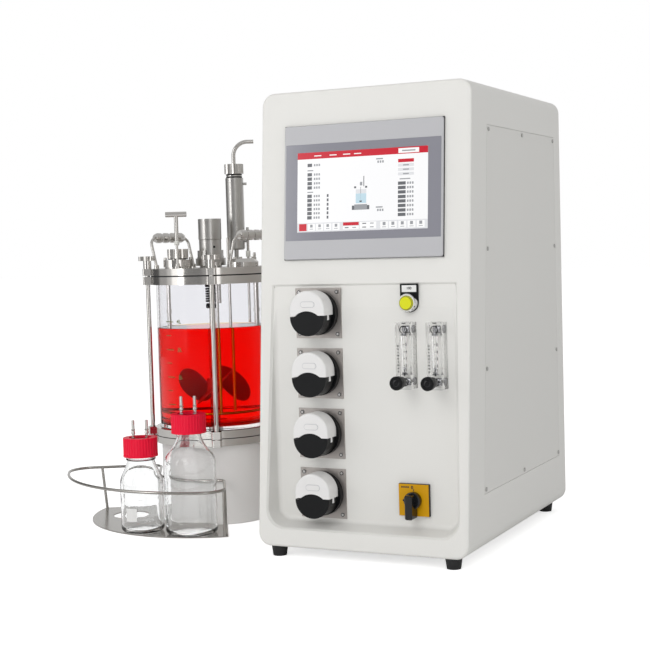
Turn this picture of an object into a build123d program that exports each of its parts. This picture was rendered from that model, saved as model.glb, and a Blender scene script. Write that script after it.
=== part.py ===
"""Bench bioreactor: a control cabinet, a stirred glass vessel on its base, and a rack with two bottles.

Millimetres, +Z up. The origin is the centre of the vessel base's underside, on the bench.
The vessel and its rack are built about that origin facing -Y, then turned towards the operator.
The cabinet is built with its lower left front corner at its own origin, then set beside the vessel.
"""

from build123d import *
import os
from math import atan2, cos, degrees, hypot, pi, radians, sin, tan

os.makedirs("parts", exist_ok=True)

# ---------------------------------------------------------------- fits
SEAT_GAP = 0.1  # round piece in the hole that carries it
RUN_GAP = 0.05  # turning or sliding piece in its bearing
MOVE_GAP = 0.5  # pieces of different bodies that pass each other
KNURL_DEPTH = 0.7

# ---------------------------------------------------------------- cabinet
CAB_PLACE = (235.5, -279.5)  # lower left front corner, from the vessel's axis
CAB_W = 358.0
CAB_H = 725.0  # body without its feet
CAB_D = 524.0  # at the bottom
CAB_LEAN = 61.0  # how far the front falls back over its height
CAB_WALL = 3.0
CAB_CORNER_R = 21.0
CAB_EDGE_R = 4.0
FOOT_H = 17.0
FOOT_TOP_R = 13.5
FOOT_LOW_R = 11.0
FOOT_INSET_X = 30.0
FOOT_INSET_Y = 18.0
FOOT_STUD_R = 3.0

# pump bay: a pocket with an upright floor in the leaning front
BAY_FLOOR_Y = 35.0
BAY_INSET_X = 24.0
BAY_LOW_Z = 56.0
BAY_CORNER_R = 22.0
BAY_DRAFT = 15.0
BAY_FLOOR_R = 7.0
BAY_RIM = 3.0

# side access panel and rear panel
PANEL_T = 1.5
PANEL_SEAM = 0.6
PANEL_LIP = 14.0
SIDE_FRONT_INSET = 72.0
SIDE_REAR_INSET = 36.0
SIDE_LOW_Z = 104.0
SIDE_TOP_INSET = 66.0
SCREW_INSET = 7.0
SCREW_HEAD_R = 3.3
SCREW_HEAD_H = 1.4
SCREW_R = 1.5
SCREW_LEN = 6.0
REAR_FLANGE = 14.0

# display
DISPLAY_W = 271.0
DISPLAY_H = 213.0
DISPLAY_T = 6.0
DISPLAY_X = 180.7
DISPLAY_Z = 579.4
DISPLAY_BAND_H = 153.0
DISPLAY_GLASS_T = 1.2
DISPLAY_BACK_W = 250.0
DISPLAY_BACK_H = 192.0
DISPLAY_BACK_T = 32.0

# peristaltic pumps
PUMP_COUNT = 4
PUMP_X = 103.6
PUMP_TOP_Z = 388.8
PUMP_PITCH = 95.8
PUMP_PLATE = 79.5
PUMP_PLATE_T = 2.0
PUMP_SCREW_INSET = 6.5
PUMP_FLANGE_R = 34.8
PUMP_FLANGE_T = 10.0
PUMP_HEAD_DROP = 4.6  # how far the head sits below the flange's centre
PUMP_HEAD_R = 29.5
PUMP_HEAD_L = 31.0
PUMP_FACE_T = 4.0
PUMP_TRACK_R = 24.0
PUMP_SPLIT_Z = 2.2  # where the cover meets the lower shell
PUMP_SPLIT_R = 30.0  # arch in that line
PUMP_SPLIT_RISE = 9.2
PUMP_COVER_RISE = 11.0  # centre of the cover's round top
PUMP_ROTOR_R = 17.0
PUMP_ROLLER_R = 4.5
PUMP_ROLLER_PLACE = 14.0
PUMP_ROLLERS = 4
PUMP_SHAFT_R = 3.0
PUMP_HINGE_R = 3.6
PUMP_PIN_R = 1.5
PUMP_HINGE_Z = 5.7
PUMP_HINGE_RELIEF = 6.2  # room for the cover's turned end in the lower shell
MOTOR_R = 18.0
MOTOR_L = 58.0
MOTOR_FACE_R = 22.0
MOTOR_FACE_T = 3.0

# lit push button
BUTTON_X = 259.4
BUTTON_Z = 404.0
LEGEND_W = 30.0
LEGEND_TOP = 29.0
LEGEND_T = 1.5
BEZEL_R = 14.3
BEZEL_H = 12.0
LENS_R = 10.8
LENS_OUT = 17.5
LENS_STEM_R = 4.0
BUTTON_TRAVEL = 3.0

# flow meters
FLOW_COUNT = 2
FLOW_X = 257.8
FLOW_PITCH = 50.2
FLOW_LOW_Z = 272.7
FLOW_H = 102.0
FLOW_W = 24.3
FLOW_D = 30.0
FLOW_TUBE_LOW_R = 4.0
FLOW_TUBE_TOP_R = 5.4
FLOW_TUBE_LOW = 26.0
FLOW_TUBE_TOP = 20.0
FLOW_FLOAT_R = 3.4
FLOW_KNOB_UP = 12.3
FLOW_KNOB_R = 10.6
FLOW_KNOB_L = 24.0
FLOW_STEM_R = 3.0
FLOW_STEM_OUT = 6.0

# main switch
SWITCH_X = 260.7
SWITCH_Z = 99.0
SWITCH_SIZE = 50.0
SWITCH_FRAME_T = 6.0
SWITCH_PLATE_T = 1.2
SWITCH_KNOB_R = 13.5
SWITCH_KNOB_T = 9.0
SWITCH_GRIP_W = 12.0
SWITCH_GRIP_H = 14.0
SWITCH_GRIP_REACH = 27.0

# ---------------------------------------------------------------- vessel
VESSEL_TURN = 30.6  # degrees, towards the operator
BASE_R = 100.7
BASE_H = 143.8
BASE_WALL = 4.0
BASE_EDGE_R = 2.0
FLANGE_R = 111.3
BOTTOM_PLATE_T = 12.3
LOW_GASKET_T = 1.5
BOTTOM_RING_T = 13.4
GLASS_SEAT = 1.5  # depth of the glass's seat in the bottom ring
GLASS_R = 102.2
GLASS_WALL = 5.5
GLASS_FLOOR_T = 6.5
GLASS_CORNER_R = 14.4
HEAD_TOP_Z = 461.7
HEAD_PLATE_T = 12.3
TOP_GASKET_T = 2.4
UPPER_FLANGE_T = 14.4

ROD_COUNT = 4
ROD_R = 4.1
ROD_PLACE = 116.5
LUG_W = 18.5
LUG_REACH = 125.3
NUT_R = 15.8
NUT_H = 8.2
NUT_COLLAR_R = 7.4
NUT_COLLAR_H = 14.9
NUT_TEETH = 24

AGITATOR_FLANGE_R = 27.7
AGITATOR_FLANGE_TOP = 16.5  # above the head plate
AGITATOR_COLLAR_TOP = 31.0
AGITATOR_BODY_R = 20.4
AGITATOR_CAP_R = 21.2
AGITATOR_CAP_TOP = 550.5
AGITATOR_CAP_H = 38.5
SHAFT_R = 6.2
SHAFT_LOW_Z = 232.1
SHAFT_TOP_Z = 505.3
SEAL_R = 14.4
SEAL_LOW_Z = 431.4
SEAL_FLANGE_R = 26.7
SEAL_BOLT_PLACE = 20.5
SEAL_BOLT_R = 3.5
IMPELLER_Z = 247.5
IMPELLER_R = 46.5
IMPELLER_BLADES = 4
IMPELLER_CHORD = 64.0
IMPELLER_PITCH = 55.0
IMPELLER_T = 2.2
IMPELLER_HUB_R = 10.8
IMPELLER_HUB_H = 24.7

# places on the head plate, as seen with the vessel facing -Y
PORT_PLACE = (-59.6, -22.6)
PORT_FLANGE_R = 26.7
PORT_FLANGE_H = 15.4
PORT_NECK_R = 14.9
PORT_BORE_R = 11.3
PORT_CAP_R = 19.0
PORT_CAP_LOW = 18.0
PORT_CAP_H = 16.9
SAMPLER_PLACE = (-59.6, -67.8)
SAMPLER_ROD_R = 2.2
SAMPLER_STEM_R = 3.7
SAMPLER_BAR_R = 4.8
SAMPLER_BAR_L = 38.0
SAMPLER_BAR_Z = 558.6
SAMPLER_STEM_LOW = 503.0
INLET_PLACE = (58.6, -20.5)
INLET_R = 28.8
INLET_H = 14.4
PROBE_RIGHT_PLACE = (80.1, -24.7)
PROBE_LEFT_PLACE = (-81.1, 20.5)
PROBE_R = 4.5
PROBE_COLLAR_Z = 382.0
PROBE_RIGHT_LOW = 221.8
PROBE_LEFT_LOW = 341.0
CONDENSER_PLACE = (48.9, 36.0)
CONDENSER_R = 16.7
CONDENSER_LOW = 492.0
CONDENSER_TOP = 626.0
CONDENSER_NECK_R = 4.1
CONDENSER_CAP_R = 17.7
CONDENSER_CAP_TOP = 651.7
CONDENSER_CAP_H = 18.0
OUTLET_R = 3.7
OUTLET_WALL = 0.8
OUTLET_Z = 693.1
OUTLET_REACH = 37.8
OUTLET_BEND_R = 26.0
HARVEST_PLACE = (31.8, -61.6)
GAS_PLACE = (70.4, 28.8)
FOAM_LOW_Z = 393.0
HARVEST_LOW_Z = 203.0
GAS_LOW_Z = 356.0
FOAM_PLACE = (15.4, 41.1)
TUBE_R = 2.6
TUBE_WALL = 0.7
SPARGER_PLACE = (9.2, -76.0)
SPARGER_WIRE_R = 2.3
SPARGER_Z = 199.2
HANDLE_PLACE_R = 104.0
HANDLE_ANGLE = 136.0  # middle of the rear left handle, counter-clockwise from +X
HANDLE_SPREAD = 28.0
HANDLE_RISE = 56.5
HANDLE_LEAN = 15.4
HANDLE_BAR_R = 2.7
HANDLE_BEND_R = 14.4
GRIP_R = 9.5
GRIP_WAIST_R = 7.4
GRIP_BEADS = 4
GRIP_BEAD_L = 18.0

# ---------------------------------------------------------------- rack and bottles
RACK_T = 2.0
RACK_CENTRE = (-5.0, 22.0)
RACK_R = 230.0
RACK_INNER_R = 105.0
RACK_RIGHT_X = 14.5
RACK_BACK_Y = 112.0
RACK_CORNER_R = 6.0
RACK_HOLE_R = 27.0
RACK_WIDE_HOLE_R = 35.0  # large bottle and spare place
WIRE_R = 2.6
WIRE_Z = 82.0
WIRE_CENTRE = (15.0, 60.0)
WIRE_LOOP_R = 294.0
WIRE_INNER_R = 107.0
WIRE_RIGHT_X = 10.5
WIRE_BACK_Y = 104.0
WIRE_LEFT_CORNER_R = 42.0
WIRE_RIGHT_CORNER_R = 38.0
WIRE_BACK_CORNER_R = 25.0
WIRE_INNER_CORNER_R = 12.0
RACK_POST_X = -214.0  # foot of the post at the back
RACK_POST_LEAN = 7.0
SMALL_PLACE = (-134.5, -125.0)
SMALL_R = 38.0
SMALL_CAP_TOP = 166.0
SMALL_SHOULDER = 84.0
SMALL_NECK_R = 24.0
LARGE_PLACE = (-48.0, -166.0)
LARGE_R = 45.0
LARGE_CAP_TOP = 209.5
LARGE_SHOULDER = 122.0
LARGE_NECK_R = 21.5
SPARE_PLACE = (-162.5, 30.0)
BOTTLE_WALL = 2.5
BOTTLE_NECK_R = 21.5
BOTTLE_FOOT_R = 8.0
CAP_R = 30.2
CAP_H = 33.5
CAP_TOP_T = 4.0
CAP_RIBS = 36
CAP_APERTURE_R = 19.5
INSERT_T = 4.0
BARB_SPACING = 23.4
BARB_H = 34.5
BARB_R = 2.6


def cylinder(radius, low, high, place=(0, 0)):
    """Upright cylinder between two heights."""
    solid = Cylinder(radius, high - low, align=(Align.CENTER, Align.CENTER, Align.MIN))
    return Pos(place[0], place[1], low) * solid


def tube(outer, inner, low, high, place=(0, 0)):
    return cylinder(outer, low, high, place) - cylinder(inner, low - 1, high + 1, place)


def cone(low_r, high_r, low, high, place=(0, 0)):
    solid = Cone(low_r, high_r, high - low, align=(Align.CENTER, Align.CENTER, Align.MIN))
    return Pos(place[0], place[1], low) * solid


def block(low, high):
    """Box between two corners."""
    size = [b - a for a, b in zip(low, high)]
    middle = [(a + b) / 2 for a, b in zip(low, high)]
    return Pos(*middle) * Box(*size)


def facing(radius, front, back, x, z):
    """Cylinder along Y between two depths."""
    return Pos(x, front, z) * Rot(-90, 0, 0) * cylinder(radius, 0, back - front)


def turned(points, place=(0, 0)):
    """Solid of revolution about an upright axis, from (radius, height) points."""
    outline = make_face(Plane.XZ * Polyline(*points, close=True))
    return Pos(place[0], place[1], 0) * revolve(outline, Axis.Z)


def knurled(radius, teeth, low, high, place=(0, 0), depth=KNURL_DEPTH):
    """Round nut or cap with straight ribs."""
    corners = []
    for i in range(2 * teeth):
        r = radius - depth * (i % 2)
        angle = pi * i / teeth
        corners.append((r * cos(angle), r * sin(angle)))
    outline = make_face(Polyline(*corners, close=True))
    return Pos(place[0], place[1], low) * extrude(outline, high - low)


def polar(radius, angle):
    return (radius * cos(radians(angle)), radius * sin(radians(angle)))


def save(name, *solids):
    """Writes one node, from one solid or a group of separate solids."""
    every = [solid for shape in solids for solid in shape.solids()]
    shape = every[0] if len(every) == 1 else Compound(every)
    export_step(shape, f"parts/{name}.step")


# ================================================================ cabinet
CAB_TOP_Z = FOOT_H + CAB_H
LEAN_ANGLE = degrees(atan2(CAB_LEAN, CAB_H))


def front_y(z):
    """Depth of the leaning front at a height."""
    return CAB_LEAN * (z - FOOT_H) / CAB_H


def leaning_plane(x, z):
    """Plane on the front with its normal outwards and its Y up the face."""
    normal = (0, -cos(radians(LEAN_ANGLE)), sin(radians(LEAN_ANGLE)))
    return Plane(origin=(x, front_y(z), z), x_dir=(1, 0, 0), z_dir=normal)


def cabinet_block(inset, back):
    """The cabinet's outer form, moved in on all sides and ended at a depth."""
    outline = RectangleRounded(CAB_W - 2 * inset, CAB_H - 2 * inset, CAB_CORNER_R - inset)
    outline = Plane.XZ * Pos(CAB_W / 2, FOOT_H + CAB_H / 2) * outline
    prism = extrude(outline, -back)
    low, high = FOOT_H - 1, CAB_TOP_Z + 1
    shift = inset / cos(radians(LEAN_ANGLE))
    side = Polyline(
        (front_y(low) + shift, low),
        (front_y(high) + shift, high),
        (back + 1, high),
        (back + 1, low),
        close=True,
    )
    return prism & extrude(Plane.YZ * make_face(side), CAB_W)


def bay_tool(grow):
    """The pump bay's volume, moved out on all sides for the inner skin."""
    top = CAB_TOP_Z * 0.75
    low = BAY_LOW_Z - grow
    width = CAB_W - 2 * BAY_INSET_X + 2 * grow
    outline = RectangleRounded(width, top - low, BAY_CORNER_R + grow)
    place = Plane(
        origin=(CAB_W / 2, BAY_FLOOR_Y + grow, (low + top) / 2), x_dir=(1, 0, 0), z_dir=(0, -1, 0)
    )
    tool = extrude(place * outline, BAY_FLOOR_Y + grow + 8, taper=-BAY_DRAFT)
    floor = tool.faces().sort_by(Axis.Y)[-1]
    return fillet(floor.edges(), BAY_FLOOR_R)


def bay_rim_tool():
    """Eases the rim where the bay's walls meet the leaning front."""
    run_out = FOOT_H + CAB_H * BAY_FLOOR_Y / CAB_LEAN
    low_x = BAY_INSET_X - tan(radians(BAY_DRAFT)) * (BAY_FLOOR_Y - front_y(BAY_LOW_Z) - BAY_RIM)
    low_z = BAY_LOW_Z - tan(radians(BAY_DRAFT)) * (BAY_FLOOR_Y - front_y(BAY_LOW_Z) - BAY_RIM)
    plane = leaning_plane(CAB_W / 2, low_z).offset(-BAY_RIM)
    half_low, half_top = CAB_W / 2 - low_x, CAB_W / 2 - BAY_INSET_X
    height = run_out - low_z
    outline = Polyline((-half_low, 0), (half_low, 0), (half_top, height), (-half_top, height), close=True)
    face = make_face(outline)
    low_corners = face.vertices().group_by(Axis.Y)[0]
    face = fillet(low_corners, BAY_CORNER_R + 6)
    return extrude(plane * face, 2 * BAY_RIM, taper=-45)


def side_panel_outline(inset):
    """The side panel's four-sided outline in depth and height, moved in."""
    low, high = SIDE_LOW_Z + inset, CAB_TOP_Z - SIDE_TOP_INSET - inset
    rear = CAB_D - SIDE_REAR_INSET - inset
    front = SIDE_FRONT_INSET + inset
    corners = Polyline((front_y(low) + front, low), (rear, low), (rear, high), (front_y(high) + front, high), close=True)
    return make_face(corners)


def side_panel_screw_places():
    """Ten places round the side panel's edge, as (depth, height)."""
    low, high = SIDE_LOW_Z + SCREW_INSET, CAB_TOP_Z - SIDE_TOP_INSET - SCREW_INSET
    rear = CAB_D - SIDE_REAR_INSET - SCREW_INSET
    third = (high - low) / 3
    places = []
    for z in (low, low + third, high - third, high):
        places.append((front_y(z) + SIDE_FRONT_INSET + SCREW_INSET, z))
        places.append((rear, z))
    for z in (low, high):
        places.append(((front_y(z) + SIDE_FRONT_INSET + rear) / 2, z))
    return places


def rear_screw_places():
    """Eight places on the rear panel, as (x, z)."""
    edge = CAB_WALL + REAR_FLANGE / 2
    places = []
    for z in (FOOT_H + 60, FOOT_H + CAB_H / 2, CAB_TOP_Z - 60):
        places += [(edge, z), (CAB_W - edge, z)]
    places += [(CAB_W / 2, FOOT_H + edge), (CAB_W / 2, CAB_TOP_Z - edge)]
    return places


def pump_places():
    return [(PUMP_X, PUMP_TOP_Z - i * PUMP_PITCH) for i in range(PUMP_COUNT)]


def pump_axes():
    return [(x, z - PUMP_HEAD_DROP) for x, z in pump_places()]


def flow_places():
    return [FLOW_X + i * FLOW_PITCH for i in range(FLOW_COUNT)]


def plate_screw_places(x, z):
    reach = PUMP_PLATE / 2 - PUMP_SCREW_INSET
    return [(x + sx * reach, z + sz * reach) for sx in (-1, 1) for sz in (-1, 1)]


def foot_places():
    xs = (FOOT_INSET_X, CAB_W - FOOT_INSET_X)
    ys = (FOOT_INSET_Y, CAB_D - FOOT_INSET_Y - 12)
    return [(x, y) for x in xs for y in ys]


REAR_PANEL_Y = CAB_D - PANEL_T
INLET_X, INLET_Z = 60.0, 75.0
INLET_W, INLET_TALL = 27.5, 48.0
FITTING_Z = 190.0
FITTING_XS = [60.0 + 34.0 * i for i in range(4)]
FITTING_R = 6.0


def make_cabinet_shell():
    """Formed housing: front with the pump bay, sides, top and bottom, open at the rear."""
    outer = cabinet_block(0, CAB_D)
    front = outer.faces().sort_by(Axis.Y)[0]
    outer = fillet(front.edges(), CAB_EDGE_R)
    outer -= bay_tool(0)
    outer -= bay_rim_tool()
    inner = cabinet_block(CAB_WALL, CAB_D + 5) - bay_tool(CAB_WALL)
    shell = outer - inner
    # inward flange that the rear panel is screwed to
    flange_y = REAR_PANEL_Y - 2
    flange = cabinet_block(CAB_WALL, REAR_PANEL_Y) - cabinet_block(CAB_WALL + REAR_FLANGE, CAB_D + 5)
    flange &= block((0, flange_y, 0), (CAB_W, REAR_PANEL_Y, CAB_TOP_Z))
    shell += flange
    # side opening with a rebate for its flush panel
    wall_x = CAB_W - CAB_WALL
    shell -= extrude(Pos(wall_x - 1, 0, 0) * (Plane.YZ * side_panel_outline(PANEL_LIP)), CAB_WALL + 2)
    rebate = extrude(Plane.YZ * side_panel_outline(0), CAB_WALL)
    shell -= Pos(CAB_W - PANEL_T, 0, 0) * rebate
    for y, z in side_panel_screw_places():
        shell -= Pos(wall_x - 1, y, z) * Rot(0, 90, 0) * cylinder(SCREW_R + SEAT_GAP, 0, CAB_WALL + 1)
    for x, z in rear_screw_places():
        shell -= facing(SCREW_R + SEAT_GAP, flange_y - 1, CAB_D, x, z)
    # holes in the bay's floor
    depth = (BAY_FLOOR_Y - 1, BAY_FLOOR_Y + CAB_WALL + 1)
    for x, z in pump_places():
        shell -= facing(MOTOR_FACE_R + 2, *depth, x, z - PUMP_HEAD_DROP)
        for sx, sz in plate_screw_places(x, z):
            shell -= facing(SCREW_R + SEAT_GAP, *depth, sx, sz)
    shell -= facing(BEZEL_R - 3 + SEAT_GAP, *depth, BUTTON_X, BUTTON_Z)
    shell -= facing(SWITCH_SIZE / 2 - 8, *depth, SWITCH_X, SWITCH_Z)
    for x in flow_places():
        for z in flow_port_heights():
            shell -= facing(FLOW_STEM_R + 2 + SEAT_GAP, *depth, x, z)
    # display cut-out in the leaning front
    cut_out = leaning_plane(DISPLAY_X, DISPLAY_Z).offset(-CAB_WALL - 2)
    shell -= extrude(cut_out * Rectangle(DISPLAY_BACK_W + 2, DISPLAY_BACK_H + 2), CAB_WALL + 4)
    for x, y in foot_places():
        shell -= cylinder(FOOT_STUD_R + SEAT_GAP, FOOT_H - 1, FOOT_H + CAB_WALL + 1, (x, y))
    return shell


def make_side_panel():
    panel = extrude(Plane.YZ * side_panel_outline(PANEL_SEAM), PANEL_T)
    panel = Pos(CAB_W - PANEL_T, 0, 0) * panel
    for y, z in side_panel_screw_places():
        hole = Rot(0, 90, 0) * cylinder(SCREW_R + SEAT_GAP, -1, PANEL_T + 1)
        panel -= Pos(CAB_W - PANEL_T, y, z) * hole
    return panel


def make_rear_panel():
    """Plain sheet with a vent, the power inlet and the gas and water fittings."""
    inset = CAB_WALL + PANEL_SEAM
    outline = RectangleRounded(CAB_W - 2 * inset, CAB_H - 2 * inset, CAB_CORNER_R - inset)
    outline = Plane.XZ * Pos(CAB_W / 2, FOOT_H + CAB_H / 2) * outline
    panel = Pos(0, REAR_PANEL_Y, 0) * extrude(outline, -PANEL_T)
    depth = (REAR_PANEL_Y - 1, CAB_D + 1)
    for x, z in rear_screw_places():
        panel -= facing(SCREW_R + SEAT_GAP, *depth, x, z)
    panel -= block(
        (INLET_X - INLET_W / 2, depth[0], INLET_Z - INLET_TALL / 2),
        (INLET_X + INLET_W / 2, depth[1], INLET_Z + INLET_TALL / 2),
    )
    for x in FITTING_XS:
        panel -= facing(FITTING_R + SEAT_GAP, *depth, x, FITTING_Z)
    slot = SlotCenterToCenter(70, 5, rotation=0)
    for column in (-1, 0, 1):
        for row in range(6):
            place = Plane.XZ * Pos(CAB_W / 2 + column * 90, CAB_TOP_Z - 110 - row * 12)
            panel -= Pos(0, depth[1], 0) * extrude(place * slot, depth[1] - depth[0])
    return panel


def make_cabinet_screws():
    """Round-headed screws of the side panel, the rear panel and the pump plates."""
    screw = cylinder(SCREW_HEAD_R, 0, SCREW_HEAD_H) + cylinder(SCREW_R, -SCREW_LEN, 0)
    screws = []
    for y, z in side_panel_screw_places():
        screws.append(Pos(CAB_W, y, z) * Rot(0, 90, 0) * screw)
    for x, z in rear_screw_places():
        screws.append(Pos(x, CAB_D, z) * Rot(-90, 0, 0) * screw)
    for x, z in pump_places():
        for sx, sz in plate_screw_places(x, z):
            screws.append(Pos(sx, BAY_FLOOR_Y - PUMP_PLATE_T, sz) * Rot(90, 0, 0) * screw)
    return screws


def make_feet():
    feet = []
    for x, y in foot_places():
        foot = cone(FOOT_LOW_R, FOOT_TOP_R, 0, FOOT_H, (x, y))
        feet.append(foot + cylinder(FOOT_STUD_R, FOOT_H, FOOT_H + CAB_WALL + 4, (x, y)))
    return feet


def make_display_housing():
    plane = leaning_plane(DISPLAY_X, DISPLAY_Z)
    bezel = extrude(plane * RectangleRounded(DISPLAY_W, DISPLAY_H, 4), DISPLAY_T)
    front = bezel.faces().sort_by(Axis.Y)[0]
    bezel = chamfer(front.edges(), 1.2)
    back = extrude(plane.offset(-DISPLAY_BACK_T) * Rectangle(DISPLAY_BACK_W, DISPLAY_BACK_H), DISPLAY_BACK_T)
    seat = plane.offset(DISPLAY_T - DISPLAY_GLASS_T)
    housing = bezel + back
    return housing - extrude(seat * RectangleRounded(DISPLAY_W - 6, DISPLAY_BAND_H, 1), DISPLAY_GLASS_T + 1)


def make_display_glass():
    plane = leaning_plane(DISPLAY_X, DISPLAY_Z).offset(DISPLAY_T - DISPLAY_GLASS_T)
    outline = RectangleRounded(DISPLAY_W - 6 - 2 * SEAT_GAP, DISPLAY_BAND_H - 2 * SEAT_GAP, 1)
    return extrude(plane * outline, DISPLAY_GLASS_T)


# ---------------------------------------------------------------- pumps
PUMP_FACE_Y = BAY_FLOOR_Y - PUMP_PLATE_T  # plate's outer face
FLANGE_FACE_Y = PUMP_FACE_Y - PUMP_FLANGE_T
HEAD_FACE_Y = FLANGE_FACE_Y - PUMP_HEAD_L
HINGE_X = PUMP_HINGE_R - PUMP_HEAD_R  # the cover's pin, from the pump's axis


def make_pump_plate(x, z):
    plate = extrude(Pos(x, BAY_FLOOR_Y, z) * (Plane.XZ * Rectangle(PUMP_PLATE, PUMP_PLATE)), PUMP_PLATE_T)
    for sx, sz in plate_screw_places(x, z):
        plate -= facing(SCREW_R + SEAT_GAP, PUMP_FACE_Y - 1, BAY_FLOOR_Y + 1, sx, sz)
    return plate - facing(MOTOR_FACE_R / 2, PUMP_FACE_Y - 1, BAY_FLOOR_Y + 1, x, z - PUMP_HEAD_DROP)


def pump_arch(grow, front, back):
    """Round hump in the lower shell's face that the cover's edge follows."""
    return facing(PUMP_SPLIT_R + grow, front, back, 0, PUMP_SPLIT_RISE - PUMP_SPLIT_R)


def make_pump_body(x, z):
    """Round flange with the lower shell in front of it and the cover's hinge pin."""
    flange = facing(PUMP_FLANGE_R, FLANGE_FACE_Y, PUMP_FACE_Y, 0, PUMP_HEAD_DROP)
    lower = facing(PUMP_HEAD_R, HEAD_FACE_Y, FLANGE_FACE_Y, 0, 0)
    lower -= block((-50, HEAD_FACE_Y - 1, PUMP_SPLIT_Z), (50, FLANGE_FACE_Y, 50))
    arch = pump_arch(0, HEAD_FACE_Y, HEAD_FACE_Y + PUMP_FACE_T)
    lower += arch & facing(PUMP_HEAD_R - 4, HEAD_FACE_Y, FLANGE_FACE_Y, 0, 0)
    lower -= facing(PUMP_TRACK_R, HEAD_FACE_Y + PUMP_FACE_T, FLANGE_FACE_Y, 0, 0)
    # relief round the cover's hinge barrel
    barrel = facing(PUMP_HINGE_RELIEF, HEAD_FACE_Y - 1, FLANGE_FACE_Y, HINGE_X, PUMP_HINGE_Z)
    lower -= barrel
    pin = facing(PUMP_PIN_R, HEAD_FACE_Y + 2, FLANGE_FACE_Y + 1, HINGE_X, PUMP_HINGE_Z)
    body = flange + lower + pin
    body -= facing(PUMP_SHAFT_R + 1, FLANGE_FACE_Y - 1, PUMP_FACE_Y + 1, 0, 0)
    return Pos(x, 0, z) * body


def make_pump_cover(x, z):
    """Hinged cover over the upper half, with its wavy lower edge and side catch."""
    front, back = HEAD_FACE_Y - 1, FLANGE_FACE_Y - MOVE_GAP
    side = PUMP_HEAD_R + 0.8
    low = PUMP_SPLIT_Z + MOVE_GAP
    outer = facing(side, front, back, 0, PUMP_COVER_RISE)
    outer -= block((-50, front - 1, -50), (50, back + 1, PUMP_COVER_RISE))
    outer += block((-side, front, low), (side, back, PUMP_COVER_RISE))
    outer += facing(PUMP_HINGE_R, front, back, HINGE_X, PUMP_HINGE_Z)
    face_edges = outer.faces().sort_by(Axis.Y)[0].edges().filter_by(GeomType.CIRCLE)
    outer = fillet(face_edges.sort_by(SortBy.LENGTH)[-1:], 3)
    inner = PUMP_TRACK_R + 1.5
    hollow = facing(inner, front + 3, back + 1, 0, PUMP_COVER_RISE)
    hollow += block((-inner, front + 3, -50), (inner, back + 1, PUMP_COVER_RISE))
    hollow -= block((-50, front - 1, -60), (HINGE_X + PUMP_HINGE_R + 1, back + 2, 60))
    cover = outer - hollow
    cover -= pump_arch(MOVE_GAP, front - 1, HEAD_FACE_Y + PUMP_FACE_T + MOVE_GAP)
    cover -= facing(PUMP_PIN_R + RUN_GAP, HEAD_FACE_Y + 2 - MOVE_GAP, back + 1, HINGE_X, PUMP_HINGE_Z)
    # raised oval finger mark on the face
    mark = Plane.XZ * Pos(2, 20) * SlotCenterToCenter(15, 8)
    cover += Pos(0, front + 0.1, 0) * extrude(mark, 1)
    # catch at the free end
    catch = block((side - 2.5, front + 12, -5), (side, front + 17.4, low + 4))
    catch -= facing(PUMP_HEAD_R + MOVE_GAP - 0.2, front, back, 0, 0) & block((-50, -50, -50), (50, 50, low))
    return Pos(x, 0, z) * (cover + catch)


def make_pump_rotor(x, z):
    """Carrier with its rollers and drive shaft."""
    front = HEAD_FACE_Y + PUMP_FACE_T + 1.5
    back = FLANGE_FACE_Y - 2
    disc = facing(PUMP_ROTOR_R, front, front + 2.5, 0, 0)
    rear_disc = facing(PUMP_ROTOR_R, back - 2.5, back, 0, 0)
    rotor = disc + rear_disc + facing(7, front, back, 0, 0)
    rotor += facing(PUMP_SHAFT_R, back, BAY_FLOOR_Y + 2, 0, 0)
    for i in range(PUMP_ROLLERS):
        px, pz = polar(PUMP_ROLLER_PLACE, 45 + i * 360 / PUMP_ROLLERS)
        rotor += facing(PUMP_ROLLER_R, front + 2.5, back - 2.5, px, pz)
    return Pos(x, 0, z) * rotor


def make_pump_motor(x, z):
    face = facing(MOTOR_FACE_R, BAY_FLOOR_Y, BAY_FLOOR_Y + MOTOR_FACE_T, 0, 0)
    motor = face + facing(MOTOR_R, BAY_FLOOR_Y + MOTOR_FACE_T, BAY_FLOOR_Y + MOTOR_L, 0, 0)
    motor -= facing(PUMP_SHAFT_R + RUN_GAP, BAY_FLOOR_Y - 1, BAY_FLOOR_Y + 3, 0, 0)
    return Pos(x, 0, z) * motor


# ---------------------------------------------------------------- push button, flow meters, switch
LENS_BACK_Y = BAY_FLOOR_Y - 8.0


def make_button_legend():
    """Black legend plate, round at its lower end."""
    outline = Rectangle(LEGEND_W, LEGEND_TOP, align=(Align.CENTER, Align.MIN)) + Circle(LEGEND_W / 2)
    plate = extrude(Plane.XZ * outline, LEGEND_T) - facing(BEZEL_R - 3 + SEAT_GAP, -9, 9, 0, 0)
    return Pos(BUTTON_X, BAY_FLOOR_Y, BUTTON_Z) * plate


def make_button_bezel():
    """Chromed ring with its threaded barrel through the bay's floor."""
    front = BAY_FLOOR_Y - LEGEND_T - BEZEL_H
    ring = facing(BEZEL_R, front, BAY_FLOOR_Y - LEGEND_T, 0, 0)
    ring = chamfer(ring.faces().sort_by(Axis.Y)[0].edges(), 1.5)
    ring += facing(BEZEL_R - 3, BAY_FLOOR_Y - LEGEND_T, BAY_FLOOR_Y + 40, 0, 0)
    ring -= facing(LENS_R + MOVE_GAP, front - 1, LENS_BACK_Y + BUTTON_TRAVEL + MOVE_GAP, 0, 0)
    ring -= facing(LENS_STEM_R + RUN_GAP, front, BAY_FLOOR_Y + 20, 0, 0)
    return Pos(BUTTON_X, 0, BUTTON_Z) * ring


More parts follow.
